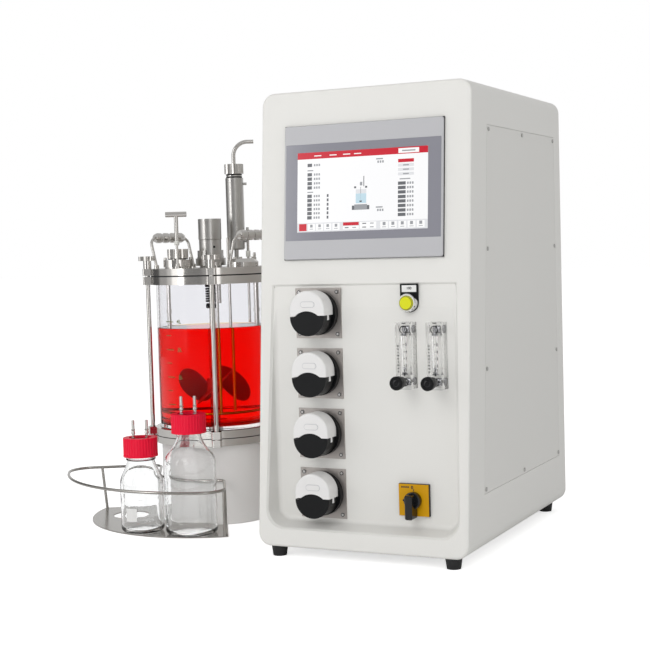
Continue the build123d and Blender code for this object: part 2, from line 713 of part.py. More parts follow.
def make_button_lens():
    front = BAY_FLOOR_Y - LENS_OUT
    lens = facing(LENS_R, front, LENS_BACK_Y, 0, 0)
    lens = fillet(lens.faces().sort_by(Axis.Y)[0].edges(), 2)
    lens += facing(LENS_STEM_R, LENS_BACK_Y, BAY_FLOOR_Y + 20 - BUTTON_TRAVEL - 1, 0, 0)
    return Pos(BUTTON_X, 0, BUTTON_Z) * lens


FLOW_FACE_Y = BAY_FLOOR_Y - FLOW_D
FLOW_BORE_Y = FLOW_FACE_Y + 11.0


def flow_port_heights():
    """Heights of the two connections behind a flow meter."""
    return (FLOW_LOW_Z + 11.0, FLOW_LOW_Z + FLOW_H - 11.0)


def make_flow_block(x):
    """Clear block with a tapered bore, its connections and the valve's bore."""
    low, high = FLOW_LOW_Z, FLOW_LOW_Z + FLOW_H
    body = block((x - FLOW_W / 2, FLOW_FACE_Y, low), (x + FLOW_W / 2, BAY_FLOOR_Y, high))
    body = fillet(body.edges().filter_by(Axis.Z), 1.5)
    bore_low, bore_high = low + FLOW_TUBE_LOW, high - FLOW_TUBE_TOP
    body -= cone(FLOW_TUBE_LOW_R, FLOW_TUBE_TOP_R, bore_low, bore_high, (x, FLOW_BORE_Y))
    knob_z = low + FLOW_KNOB_UP
    body -= facing(FLOW_STEM_R + RUN_GAP, FLOW_FACE_Y - 1, FLOW_FACE_Y + 16, x, knob_z)
    for z in flow_port_heights():
        body += facing(FLOW_STEM_R + 2, BAY_FLOOR_Y, BAY_FLOOR_Y + CAB_WALL + 12, x, z)
    return body


def make_flow_float(x):
    """Small weight that the gas lifts in the bore."""
    low = FLOW_LOW_Z + FLOW_TUBE_LOW + MOVE_GAP
    points = [(0, low), (1.4, low), (FLOW_FLOAT_R, low + 5), (FLOW_FLOAT_R, low + 7), (0, low + 8)]
    return turned(points, (x, FLOW_BORE_Y))


def make_flow_knob(x):
    """Tapered black knob on its needle stem."""
    tip = FLOW_FACE_Y - FLOW_STEM_OUT - FLOW_KNOB_L
    root = FLOW_FACE_Y - FLOW_STEM_OUT
    profile = [(0, 0), (FLOW_KNOB_R - 1.5, 0), (FLOW_KNOB_R, 1.5), (FLOW_KNOB_R, 9)]
    profile += [(FLOW_KNOB_R - 2.5, FLOW_KNOB_L), (0, FLOW_KNOB_L)]
    knob = turned(profile) - tube(6.2, 3.2, -1, 2)
    knob = Pos(x, tip, FLOW_LOW_Z + FLOW_KNOB_UP) * Rot(-90, 0, 0) * knob
    return knob + facing(FLOW_STEM_R, root, FLOW_FACE_Y + 15, x, FLOW_LOW_Z + FLOW_KNOB_UP)


def make_switch_body():
    """Square frame in front of the bay's floor and the contact block behind it."""
    frame = extrude(Pos(0, BAY_FLOOR_Y, 0) * (Plane.XZ * Rectangle(SWITCH_SIZE, SWITCH_SIZE)), SWITCH_FRAME_T)
    body = frame + facing(SWITCH_SIZE / 2 - 8 - SEAT_GAP, BAY_FLOOR_Y, BAY_FLOOR_Y + CAB_WALL, 0, 0)
    body += block((-20, BAY_FLOOR_Y + CAB_WALL, -20), (20, BAY_FLOOR_Y + 50, 20))
    body -= facing(4 + RUN_GAP, 0, BAY_FLOOR_Y + 10, 0, 0)
    return Pos(SWITCH_X, 0, SWITCH_Z) * body


def make_switch_plate():
    size = SWITCH_SIZE - 0.6
    front = BAY_FLOOR_Y - SWITCH_FRAME_T
    plate = extrude(Pos(0, front, 0) * (Plane.XZ * Rectangle(size, size)), SWITCH_PLATE_T)
    return Pos(SWITCH_X, 0, SWITCH_Z) * (plate - facing(5, 0, front + 1, 0, 0))


def make_switch_knob():
    """Round knob with one grip bar that points down at rest and a small pointer across it."""
    back = BAY_FLOOR_Y - SWITCH_FRAME_T - SWITCH_PLATE_T - MOVE_GAP
    knob = facing(SWITCH_KNOB_R, back - SWITCH_KNOB_T, back, 0, 0)
    knob = fillet(knob.faces().sort_by(Axis.Y)[0].edges(), 2)
    half = SWITCH_GRIP_W / 2
    grip = block((-half, back - SWITCH_KNOB_T - SWITCH_GRIP_H, -SWITCH_GRIP_REACH), (half, back - 1, SWITCH_KNOB_R - 3))
    grip = fillet(grip.edges().filter_by(Axis.Y), 2.5)
    grip = chamfer(grip.faces().sort_by(Axis.Y)[0].edges(), 1.2)
    pointer = block((-SWITCH_KNOB_R - 3, back - 4, -1.5), (0, back - 1, 1.5))
    shaft = facing(4, back - 2, BAY_FLOOR_Y + 9, 0, 0)
    return Pos(SWITCH_X, 0, SWITCH_Z) * (knob + grip + pointer + shaft)


# ---------------------------------------------------------------- rear connections and inside
def make_power_inlet():
    """Recessed three-pin inlet; its flange lies on the rear panel."""
    half_w, half_h = INLET_W / 2 - SEAT_GAP, INLET_TALL / 2 - SEAT_GAP
    body = block((-half_w, REAR_PANEL_Y - 25, -half_h), (half_w, CAB_D, half_h))
    body += block((-half_w - 4, CAB_D, -half_h - 4), (half_w + 4, CAB_D + 2.5, half_h + 4))
    body -= block((-10, CAB_D - 15, -half_h + 5), (10, CAB_D + 4, -half_h + 25))
    for x, z in ((-5, 12), (5, 12), (0, 18)):
        body += block((x - 1, CAB_D - 16, -half_h + z - 2), (x + 1, CAB_D - 3, -half_h + z + 2))
    return Pos(INLET_X, 0, INLET_Z) * body


def make_rear_fittings():
    """Bulkhead hose connectors for gas and cooling water."""
    fittings = []
    for x in FITTING_XS:
        profile = [(2.5, -14), (FITTING_R, -14), (FITTING_R, 0), (9, 0), (9, 5), (4, 5)]
        profile += [(4, 12), (5.2, 14), (4, 18), (5.2, 20), (3.6, 25), (2.5, 25)]
        fittings.append(Pos(x, CAB_D, FITTING_Z) * Rot(-90, 0, 0) * turned(profile))
    return fittings


SUPPLY_LOW = (150.0, 290.0)
SUPPLY_SIZE = (110.0, 200.0, 50.0)
BOARD_SIZE = (1.6, 240.0, 180.0)
BOARD_Y, BOARD_Z = 200.0, 330.0
POST_L = 12.0


def make_power_supply():
    """Closed metal box on the cabinet's floor."""
    low = (SUPPLY_LOW[0], SUPPLY_LOW[1], FOOT_H + CAB_WALL)
    high = tuple(a + b for a, b in zip(low, SUPPLY_SIZE))
    return block(low, high)


def make_control_board():
    """Circuit board on four posts on the left wall, with its largest components."""
    x = CAB_WALL + POST_L
    board = block((x, BOARD_Y, BOARD_Z), (x + BOARD_SIZE[0], BOARD_Y + BOARD_SIZE[1], BOARD_Z + BOARD_SIZE[2]))
    for y in (BOARD_Y + 8, BOARD_Y + BOARD_SIZE[1] - 8):
        for z in (BOARD_Z + 8, BOARD_Z + BOARD_SIZE[2] - 8):
            board += Pos(CAB_WALL, y, z) * Rot(0, 90, 0) * cylinder(3, 0, POST_L)
    face = x + BOARD_SIZE[0]
    board += block((face, BOARD_Y + 30, BOARD_Z + 60), (face + 3, BOARD_Y + 70, BOARD_Z + 100))
    board += block((face, BOARD_Y + 120, BOARD_Z + 10), (face + 14, BOARD_Y + 200, BOARD_Z + 24))
    return board


def cabinet_nodes():
    pumps = pump_places()
    nodes = {
        "cabinet_shell": [make_cabinet_shell()],
        "side_panel": [make_side_panel()],
        "rear_panel": [make_rear_panel()],
        "cabinet_screws": make_cabinet_screws(),
        "cabinet_feet": make_feet(),
        "display_housing": [make_display_housing()],
        "display_glass": [make_display_glass()],
        "pump_plates": [make_pump_plate(x, z) for x, z in pumps],
        "pump_bodies": [make_pump_body(x, z) for x, z in pump_axes()],
        "pump_motors": [make_pump_motor(x, z) for x, z in pump_axes()],
        "button_legend": [make_button_legend()],
        "button_bezel": [make_button_bezel()],
        "button_lens": [make_button_lens()],
        "flow_blocks": [make_flow_block(x) for x in flow_places()],
        "switch_body": [make_switch_body()],
        "switch_plate": [make_switch_plate()],
        "switch_knob": [make_switch_knob()],
        "power_inlet": [make_power_inlet()],
        "rear_fittings": make_rear_fittings(),
        "electronics": [make_power_supply(), make_control_board()],
    }
    for i, (x, z) in enumerate(pump_axes(), 1):
        nodes[f"pump_cover_{i}"] = [make_pump_cover(x, z)]
        nodes[f"pump_rotor_{i}"] = [make_pump_rotor(x, z)]
    for i, x in enumerate(flow_places(), 1):
        nodes[f"flow_float_{i}"] = [make_flow_float(x)]
        nodes[f"flow_knob_{i}"] = [make_flow_knob(x)]
    return nodes


# ================================================================ vessel
RING_LOW_Z = BASE_H + BOTTOM_PLATE_T + LOW_GASKET_T
RING_TOP_Z = RING_LOW_Z + BOTTOM_RING_T
GLASS_LOW_Z = RING_TOP_Z - GLASS_SEAT
HEAD_LOW_Z = HEAD_TOP_Z - HEAD_PLATE_T
UPPER_TOP_Z = HEAD_LOW_Z - TOP_GASKET_T
UPPER_LOW_Z = UPPER_TOP_Z - UPPER_FLANGE_T
GLASS_TOP_Z = UPPER_TOP_Z - 0.5
GLASS_BORE_R = GLASS_R - GLASS_WALL


def rod_places():
    return [polar(ROD_PLACE, i * 360 / ROD_COUNT) for i in range(ROD_COUNT)]


def flange_disc(low, high):
    """Round flange with a lug for each tie rod."""
    disc = cylinder(FLANGE_R, low, high)
    for i in range(ROD_COUNT):
        lug = block((FLANGE_R - 16, -LUG_W / 2, low), (LUG_REACH, LUG_W / 2, high))
        lug = fillet(lug.edges().filter_by(Axis.Z).group_by(Axis.X)[-1], 4)
        disc += Rot(0, 0, i * 360 / ROD_COUNT) * lug
    for place in rod_places():
        disc -= cylinder(ROD_R + SEAT_GAP, low - 1, high + 1, place)
    return disc


def make_vessel_base():
    """Painted round housing, open below its top plate."""
    body = cylinder(BASE_R, 0, BASE_H)
    body = fillet(body.edges(), BASE_EDGE_R)
    return body - cylinder(BASE_R - BASE_WALL, BASE_WALL, BASE_H - BASE_WALL)


def make_bottom_plate():
    return flange_disc(BASE_H, BASE_H + BOTTOM_PLATE_T)


def make_bottom_ring():
    """Ring that seats the glass's foot."""
    ring = flange_disc(RING_LOW_Z, RING_TOP_Z)
    ring -= cylinder(GLASS_R + 0.5, GLASS_LOW_Z, RING_TOP_Z + 1)
    return ring - cylinder(GLASS_BORE_R - 8, RING_LOW_Z - 1, RING_TOP_Z)


def make_glass_vessel():
    """Flat-bottomed glass jar with a round inner corner."""
    jar = cylinder(GLASS_R, GLASS_LOW_Z, GLASS_TOP_Z)
    jar = fillet(jar.edges().sort_by(Axis.Z)[:1], 3)
    space = cylinder(GLASS_BORE_R, GLASS_LOW_Z + GLASS_FLOOR_T, GLASS_TOP_Z + 1)
    space = fillet(space.edges().sort_by(Axis.Z)[:1], GLASS_CORNER_R)
    return jar - space


def make_gaskets():
    """Flat seals under the head plate and between the two bottom rings."""
    top = tube(FLANGE_R - 0.6, GLASS_BORE_R + 1, UPPER_TOP_Z, HEAD_LOW_Z)
    low = tube(FLANGE_R - 0.8, GLASS_BORE_R, BASE_H + BOTTOM_PLATE_T, RING_LOW_Z)
    return [top, low]


def make_upper_flange():
    ring = flange_disc(UPPER_LOW_Z, UPPER_TOP_Z)
    return ring - cylinder(GLASS_R + 0.3, UPPER_LOW_Z - 1, UPPER_TOP_Z + 1)


def make_head_plate():
    plate = flange_disc(HEAD_LOW_Z, HEAD_TOP_Z)
    plate -= cylinder(SEAL_R + SEAT_GAP, HEAD_LOW_Z - 1, HEAD_TOP_Z + 1)
    plate -= cylinder(PORT_BORE_R, HEAD_LOW_Z - 1, HEAD_TOP_Z + 1, PORT_PLACE)
    for place in (PROBE_LEFT_PLACE, PROBE_RIGHT_PLACE):
        plate -= cylinder(PROBE_R + SEAT_GAP, HEAD_LOW_Z - 1, HEAD_TOP_Z + 1, place)
    for place in (HARVEST_PLACE, GAS_PLACE, FOAM_PLACE, SPARGER_PLACE):
        plate -= cylinder(TUBE_R + SEAT_GAP, HEAD_LOW_Z - 1, HEAD_TOP_Z + 1, place)
    plate -= cylinder(CONDENSER_NECK_R - 1.2, HEAD_LOW_Z - 1, HEAD_TOP_Z + 1, CONDENSER_PLACE)
    plate -= cylinder(SAMPLER_ROD_R + SEAT_GAP, HEAD_LOW_Z - 1, HEAD_TOP_Z + 1, SAMPLER_PLACE)
    return plate


def make_tie_rods():
    return [cylinder(ROD_R, BASE_H + 1, HEAD_TOP_Z + NUT_COLLAR_H + NUT_H - 2, p) for p in rod_places()]


def make_clamp_nuts():
    """Knurled nuts that clamp the head plate down."""
    nuts = []
    for place in rod_places():
        low = HEAD_TOP_Z + NUT_COLLAR_H
        nut = knurled(NUT_R, NUT_TEETH, low, low + NUT_H, place) + cylinder(NUT_COLLAR_R, HEAD_TOP_Z, low, place)
        nuts.append(nut - cylinder(ROD_R + SEAT_GAP, HEAD_TOP_Z - 1, low + NUT_H - 2, place))
    return nuts


def make_lift_handle(turn):
    """Bent bar with a beaded grip, leaning outwards from the head plate's edge."""
    half = HANDLE_PLACE_R * sin(radians(HANDLE_SPREAD))
    out = HANDLE_PLACE_R * cos(radians(HANDLE_SPREAD))
    lean = atan2(HANDLE_LEAN, HANDLE_RISE)
    rise = hypot(HANDLE_LEAN, HANDLE_RISE)
    # built with its middle towards +X, its bar along Y and its feet at Z = 0
    plane = Plane(origin=(out, 0, 0), x_dir=(0, 1, 0), z_dir=(cos(lean), 0, -sin(lean)))
    route = FilletPolyline((-half, 0), (-half, rise), (half, rise), (half, 0), radius=HANDLE_BEND_R)
    path = plane * route
    start = Plane(origin=path @ 0, z_dir=path % 0)
    bar = sweep(start * Circle(HANDLE_BAR_R), path=path)
    # square the feet off on the plate
    bar -= block((out - 20, -half - 20, -20), (out + 20, half + 20, 0))
    for side in (-half, half):
        bar += cylinder(HANDLE_BAR_R + 1.8, 0, 6, (out + 0.6, side))
    profile = [(HANDLE_BAR_R + SEAT_GAP, 0)]
    for i in range(GRIP_BEADS):
        profile.append((GRIP_WAIST_R, i * GRIP_BEAD_L))
        profile.append((GRIP_R, (i + 0.3) * GRIP_BEAD_L))
        profile.append((GRIP_R, (i + 0.7) * GRIP_BEAD_L))
    profile.append((GRIP_WAIST_R, GRIP_BEADS * GRIP_BEAD_L))
    profile.append((HANDLE_BAR_R + SEAT_GAP, GRIP_BEADS * GRIP_BEAD_L))
    grip = Pos(0, 0, -GRIP_BEADS * GRIP_BEAD_L / 2) * turned(profile)
    grip = Pos(out + HANDLE_LEAN, 0, HANDLE_RISE) * Rot(-90, 0, 0) * grip
    place = Pos(0, 0, HEAD_TOP_Z) * Rot(0, 0, turn)
    return [place * bar, place * grip]


def make_agitator_housing():
    """Bearing and seal housing of the stirrer, through the head plate."""
    top = AGITATOR_CAP_TOP - AGITATOR_CAP_H
    body = cylinder(AGITATOR_BODY_R, HEAD_TOP_Z, top)
    flange_top = HEAD_TOP_Z + AGITATOR_FLANGE_TOP
    body += cylinder(AGITATOR_FLANGE_R, HEAD_TOP_Z + 3, flange_top)
    collar = cylinder(AGITATOR_BODY_R + 3.6, flange_top, HEAD_TOP_Z + AGITATOR_COLLAR_TOP)
    body += collar - block((-9, -40, flange_top), (9, 40, HEAD_TOP_Z + AGITATOR_COLLAR_TOP + 1))
    body += cylinder(SEAL_R, SEAL_LOW_Z, HEAD_TOP_Z)
    body += cylinder(SEAL_FLANGE_R, HEAD_LOW_Z - 9, HEAD_LOW_Z) & cylinder(GLASS_BORE_R, 0, HEAD_LOW_Z)
    for i in range(4):
        body += cylinder(SEAL_BOLT_R, HEAD_LOW_Z - 20, HEAD_LOW_Z - 9, polar(SEAL_BOLT_PLACE, i * 90))
    body -= cylinder(SHAFT_R + RUN_GAP, SEAL_LOW_Z - 1, SHAFT_TOP_Z + MOVE_GAP)
    # grease hole that shows on the front
    return body - facing(2.3, -AGITATOR_BODY_R - 1, -AGITATOR_BODY_R + 8, 7.0, HEAD_TOP_Z + 37)


def make_agitator_cap():
    """Coupling cap with a slightly hollow top."""
    low = AGITATOR_CAP_TOP - AGITATOR_CAP_H
    cap = cylinder(AGITATOR_CAP_R, low, AGITATOR_CAP_TOP)
    cap = chamfer(cap.edges().sort_by(Axis.Z)[:1], 1)
    return cap - cone(AGITATOR_CAP_R - 14, AGITATOR_CAP_R - 2, AGITATOR_CAP_TOP - 4, AGITATOR_CAP_TOP + 0.01)


def make_agitator_shaft():
    return cylinder(SHAFT_R, SHAFT_LOW_Z, SHAFT_TOP_Z)


def impeller_blade():
    """Broad rounded blade on the -X side, pitched about its radial axis."""
    reach = IMPELLER_R - IMPELLER_HUB_R + 3
    outline = Ellipse(reach / 2, IMPELLER_CHORD / 2)
    sheet = Pos(0, 0, -IMPELLER_T / 2) * extrude(outline, IMPELLER_T)
    centre = IMPELLER_R - reach / 2
    return Pos(-centre, 0, 0) * Rot(IMPELLER_PITCH, 0, 0) * sheet


def make_impeller():
    """Hub with broad pitched blades, clamped on the shaft."""
    hub = cylinder(IMPELLER_HUB_R, -IMPELLER_HUB_H / 2, IMPELLER_HUB_H / 2)
    for i in range(IMPELLER_BLADES):
        hub += Rot(0, 0, i * 360 / IMPELLER_BLADES) * impeller_blade()
    hub -= cylinder(SHAFT_R + SEAT_GAP / 2, -IMPELLER_CHORD, IMPELLER_CHORD)
    return Pos(0, 0, IMPELLER_Z) * hub


def make_condenser():
    """Cooled exhaust cylinder on a thin neck, with its two water stubs."""
    neck = cylinder(CONDENSER_NECK_R, HEAD_TOP_Z, CONDENSER_LOW, CONDENSER_PLACE)
    neck += cylinder(CONDENSER_NECK_R + 4, HEAD_TOP_Z, HEAD_TOP_Z + 9, CONDENSER_PLACE)
    body = cylinder(CONDENSER_R, CONDENSER_LOW, CONDENSER_TOP, CONDENSER_PLACE)
    body = chamfer(body.edges().sort_by(Axis.Z)[:1], 3)
    throat_top = CONDENSER_CAP_TOP - CONDENSER_CAP_H
    throat = cylinder(CONDENSER_R - 4, CONDENSER_TOP, throat_top + 8, CONDENSER_PLACE)
    ring = cylinder(CONDENSER_R - 2.2, CONDENSER_TOP + 2.8, throat_top - 2.2, CONDENSER_PLACE)
    condenser = neck + body + throat + ring
    x, y = CONDENSER_PLACE
    for z in (CONDENSER_TOP - 11, CONDENSER_LOW + 16):
        condenser += Pos(x, y, z) * Rot(0, 90, 20) * cylinder(2.4, 0, CONDENSER_R + 6)
    bore = cylinder(CONDENSER_NECK_R - 1.2, HEAD_TOP_Z - 1, throat_top + 9, CONDENSER_PLACE)
    return condenser - bore


def make_condenser_cap():
    """Knurled nut with the bent exhaust tube brazed into it."""
    low = CONDENSER_CAP_TOP - CONDENSER_CAP_H
    nut = knurled(CONDENSER_CAP_R, 30, low, CONDENSER_CAP_TOP, (0, 0))
    nut -= cylinder(CONDENSER_R - 4 + SEAT_GAP, low - 1, low + 8.2)
    route = FilletPolyline(
        (0, 0, low + 8.2), (0, 0, OUTLET_Z), (OUTLET_REACH, 0, OUTLET_Z), radius=OUTLET_BEND_R
    )
    start = Plane(origin=route @ 0, z_dir=route % 0)
    pipe = sweep(start * Circle(OUTLET_R), path=route)
    hole = sweep(start * Circle(OUTLET_R - OUTLET_WALL), path=route)
    return Pos(CONDENSER_PLACE[0], CONDENSER_PLACE[1], 0) * ((nut + pipe) - hole)


def make_sampler_valve():
    """Small seat on the head plate with the dip tube below it."""
    seat = cylinder(6, HEAD_TOP_Z, HEAD_TOP_Z + 4, SAMPLER_PLACE)
    seat += cylinder(4.2, HEAD_TOP_Z + 4, HEAD_TOP_Z + 9, SAMPLER_PLACE)
    return seat - cylinder(SAMPLER_ROD_R + RUN_GAP, HEAD_TOP_Z - 1, HEAD_TOP_Z + 10, SAMPLER_PLACE)


def make_sampler_handle():
    """T handle on a long valve spindle."""
    rod = cylinder(SAMPLER_ROD_R, HEAD_LOW_Z - 4, SAMPLER_STEM_LOW, SAMPLER_PLACE)
    stem = cylinder(SAMPLER_STEM_R, SAMPLER_STEM_LOW, SAMPLER_BAR_Z, SAMPLER_PLACE)
    x, y = SAMPLER_PLACE
    bar = Pos(x, y, SAMPLER_BAR_Z) * Rot(0, 90, 0) * Cylinder(SAMPLER_BAR_R, SAMPLER_BAR_L)
    bar = chamfer(bar.edges().filter_by(GeomType.CIRCLE), 0.6)
    return rod + stem + bar


def make_addition_port():
    """Flanged neck with two screws, closed by the port cap."""
    top = HEAD_TOP_Z + PORT_FLANGE_H
    port = cylinder(PORT_FLANGE_R - 2, HEAD_TOP_Z, HEAD_TOP_Z + 2.5, PORT_PLACE)
    port += cylinder(PORT_FLANGE_R, HEAD_TOP_Z + 2.5, top, PORT_PLACE)
    port += cylinder(PORT_NECK_R, top, top + PORT_CAP_LOW - PORT_FLANGE_H + 8, PORT_PLACE)
    for side in (-1, 1):
        place = (PORT_PLACE[0] + side * (PORT_FLANGE_R - 3.6), PORT_PLACE[1])
        port += cylinder(2.8, top, top + 4.5, place)
    return port - cylinder(PORT_BORE_R, HEAD_TOP_Z - 1, top + 20, PORT_PLACE)


def make_port_cap():
    """Knurled screw cap over the port's neck."""
    low = HEAD_TOP_Z + PORT_CAP_LOW
    cap = knurled(PORT_CAP_R, 30, low, low + PORT_CAP_H, PORT_PLACE)
    return cap - cylinder(PORT_NECK_R + RUN_GAP, low - 1, low + 8 + MOVE_GAP, PORT_PLACE)


def make_inlet_port():
    """Low domed port plate with a hose barb, over the right-hand probe."""
    x, y = INLET_PLACE
    profile = [(0, HEAD_TOP_Z), (INLET_R, HEAD_TOP_Z), (INLET_R, HEAD_TOP_Z + 8)]
    profile += [(INLET_R - 6, HEAD_TOP_Z + INLET_H), (0, HEAD_TOP_Z + INLET_H)]
    port = turned(profile, INLET_PLACE)
    low = HEAD_TOP_Z + 6
    barb = [(0, low), (3.4, low), (3.4, low + 10), (2.4, low + 11), (3.0, low + 14), (2.2, low + 19), (0, low + 19)]
    port += turned(barb, PROBE_RIGHT_PLACE)
    for angle in (100, 220, 340):
        px, py = polar(INLET_R - 10, angle)
        port += cylinder(3, HEAD_TOP_Z + INLET_H, HEAD_TOP_Z + INLET_H + 3, (x + px, y + py))
    return port


def make_sparger():
    """Gas pipe with a ring near the vessel's floor."""
    x, y = SPARGER_PLACE
    ring_r = hypot(x, y)
    ring = Pos(0, 0, SPARGER_Z) * Torus(ring_r, SPARGER_WIRE_R)
    pipe = cylinder(TUBE_R, SPARGER_Z, HEAD_TOP_Z + 9, SPARGER_PLACE)
    pipe += cylinder(TUBE_R + 2, HEAD_TOP_Z, HEAD_TOP_Z + 4, SPARGER_PLACE)
    return ring + pipe


def probe(place, low, top):
    """Rod probe with a collar."""
    rod = cylinder(PROBE_R, low, top, place)
    return rod + cylinder(PROBE_R + 0.9, PROBE_COLLAR_Z - 3, PROBE_COLLAR_Z + 3, place)


def make_probes():
    """Acidity and oxygen probes, foam probe, harvest and gas pipes."""
    left = probe(PROBE_LEFT_PLACE, PROBE_LEFT_LOW, HEAD_TOP_Z + 9)
    right = probe(PROBE_RIGHT_PLACE, PROBE_RIGHT_LOW, HEAD_TOP_Z)
    foam = cylinder(TUBE_R, FOAM_LOW_Z, HEAD_TOP_Z + 12, FOAM_PLACE)
    harvest = cylinder(TUBE_R, HARVEST_LOW_Z, HEAD_TOP_Z + 53, HARVEST_PLACE)
    gas = cylinder(TUBE_R, GAS_LOW_Z, HEAD_TOP_Z + 72, GAS_PLACE)
    sleeve = cylinder(TUBE_R + 1.2, HEAD_TOP_Z + 17, HEAD_TOP_Z + 28, GAS_PLACE)
    return [left, right, foam, harvest, gas + sleeve]


# ================================================================ rack and bottles
def circle_y(centre, radius, x):
    """Front crossing of a circle at a place across."""
    return centre[1] - (radius**2 - (x - centre[0]) ** 2) ** 0.5


def circle_x(centre, radius, y):
    """Left crossing of a circle at a depth."""
    return centre[0] - (radius**2 - (y - centre[1]) ** 2) ** 0.5


def make_rack():
    """Crescent tray round the vessel's base, with its wire rail and posts welded on."""
    plate = cylinder(RACK_R, 0, RACK_T, RACK_CENTRE)
    sides = block((-400, 0, 0), (-RACK_INNER_R, RACK_BACK_Y, RACK_T))
    sides += block((-400, -400, 0), (RACK_RIGHT_X, 0, RACK_T))
    plate &= sides
    plate -= cylinder(RACK_INNER_R, -1, RACK_T + 1)
    plate = plate.solids().sort_by(SortBy.VOLUME)[-1]
    back = plate.edges().filter_by(Axis.Z).group_by(Axis.Y)[-1]
    plate = fillet(back, RACK_CORNER_R)
    plate -= cylinder(RACK_HOLE_R, -1, RACK_T + 1, SMALL_PLACE)
    for place in (LARGE_PLACE, SPARE_PLACE):
        plate -= cylinder(RACK_WIDE_HOLE_R, -1, RACK_T + 1, place)
    rack = plate + make_rail() + leaning_post()
    for x, y in rail_post_places():
        rack += cylinder(WIRE_R, RACK_T / 2, WIRE_Z, (x, y))
    return rack


def rail_bend():
    """Centre of the bend at the rail's right-hand end."""
    x = WIRE_RIGHT_X - WIRE_RIGHT_CORNER_R
    reach = WIRE_LOOP_R - WIRE_RIGHT_CORNER_R
    return (x, circle_y(WIRE_CENTRE, reach, x))


def make_rail():
    """Closed loop of round wire: outer arc, back run and the stretch round the base."""
    loop = cylinder(WIRE_LOOP_R, 0, 10, WIRE_CENTRE)
    sides = block((-400, 0, 0), (-WIRE_INNER_R, WIRE_BACK_Y, 10))
    sides += block((-400, -400, 0), (WIRE_RIGHT_X, 0, 10))
    loop &= sides
    loop -= cylinder(WIRE_INNER_R, -1, 11)
    loop = loop.solids().sort_by(SortBy.VOLUME)[-1]
    bends = (
        (-400, -150, 0, 400, WIRE_LEFT_CORNER_R),
        (-150, -50, 50, 400, WIRE_BACK_CORNER_R),
        (0, 50, -400, -150, WIRE_RIGHT_CORNER_R),
        (0, 50, -150, 0, WIRE_INNER_CORNER_R),
    )
    for x1, x2, y1, y2, radius in bends:
        corner = [e for e in loop.edges().filter_by(Axis.Z) if in_window(e, x1, x2, y1, y2)]
        loop = fillet(corner, radius)
    outline = loop.faces().sort_by(Axis.Z)[0].outer_wire()
    wire = Pos(0, 0, WIRE_Z) * outline
    # swept in two halves that meet end to end
    start = Plane(origin=wire @ 0, z_dir=wire % 0)
    halves = [wire.trim(0, 0.5), wire.trim(0.5, 1)]
    rail = None
    for half in halves:
        start = Plane(origin=half @ 0, z_dir=half % 0)
        piece = sweep(start * Circle(WIRE_R), path=half)
        rail = piece if rail is None else rail + piece
    return rail


def in_window(edge, x1, x2, y1, y2):
    place = edge.center()
    return x1 < place.X < x2 and y1 < place.Y < y2


def leaning_post():
    """Post at the back, leaning out to the wider rail."""
    rise = WIRE_Z - RACK_T / 2
    post = cylinder(WIRE_R, 0, hypot(rise, RACK_POST_LEAN))
    lean = -degrees(atan2(RACK_POST_LEAN, rise))
    return Pos(RACK_POST_X, WIRE_BACK_Y, RACK_T / 2) * Rot(0, lean, 0) * post


def rail_post_places():
    """The pair of posts at the right-hand bend."""
    x, y = rail_bend()
    places = []
    for angle in (3, -20):
        dx, dy = polar(WIRE_RIGHT_CORNER_R, angle)
        places.append((x + dx, y + dy) if angle < 0 else (WIRE_RIGHT_X, y + 4))
    return places


def make_bottle(place, radius, shoulder, neck, cap_top):
    """Blown glass bottle with a round shoulder and a straight neck."""
    rim = cap_top - CAP_TOP_T - INSERT_T - 0.3
    neck_low = cap_top - CAP_H - 6
    outer = revolve(bottle_section(radius, shoulder, neck, neck_low, rim, 0), Axis.Z)
    inner = revolve(bottle_section(radius, shoulder, neck, neck_low, rim, BOTTLE_WALL), Axis.Z)
    bead = Torus(neck + 0.4, 1.8)
    outer += Pos(0, 0, neck_low + 1.5) * bead
    return Pos(place[0], place[1], RACK_T) * (outer - inner)


def bottle_section(radius, shoulder, neck, neck_low, rim, inset):
    """Half section of a bottle, moved in by the wall's thickness."""
    r = radius - inset
    mouth = BOTTLE_NECK_R - inset
    low = inset * 1.4
    top = rim + inset
    base = Line((0, low), (r - BOTTLE_FOOT_R, low))
    foot = RadiusArc(base @ 1, (r, low + BOTTLE_FOOT_R), -BOTTLE_FOOT_R)
    side = Line(foot @ 1, (r, shoulder))
    middle = ((r + neck - inset) / 2 + 1, (shoulder + neck_low) / 2)
    slope = Spline(side @ 1, middle, (neck - inset, neck_low), tangents=[(0, 1), (-0.2, 1)])
    step = Line(slope @ 1, (mouth, neck_low + 3))
    collar = Line(step @ 1, (mouth, top))
    lid = Line(collar @ 1, (0, top))
    axis = Line(lid @ 1, base @ 0)
    return Plane.XZ * make_face(Wire([base, foot, side, slope, step, collar, lid, axis]))


def make_bottle_cap(place, cap_top):
    """Ribbed red cap with a round opening in its top."""
    low, high = RACK_T + cap_top - CAP_H, RACK_T + cap_top
    cap = knurled(CAP_R, CAP_RIBS, low + 2, high, place, depth=0.9)
    cap += cylinder(CAP_R + 0.3, low, low + 2.5, place)
    cap -= cylinder(BOTTLE_NECK_R + 2.2, low - 1, high - CAP_TOP_T, place)
    return cap - cylinder(CAP_APERTURE_R, low, high + 1, place)


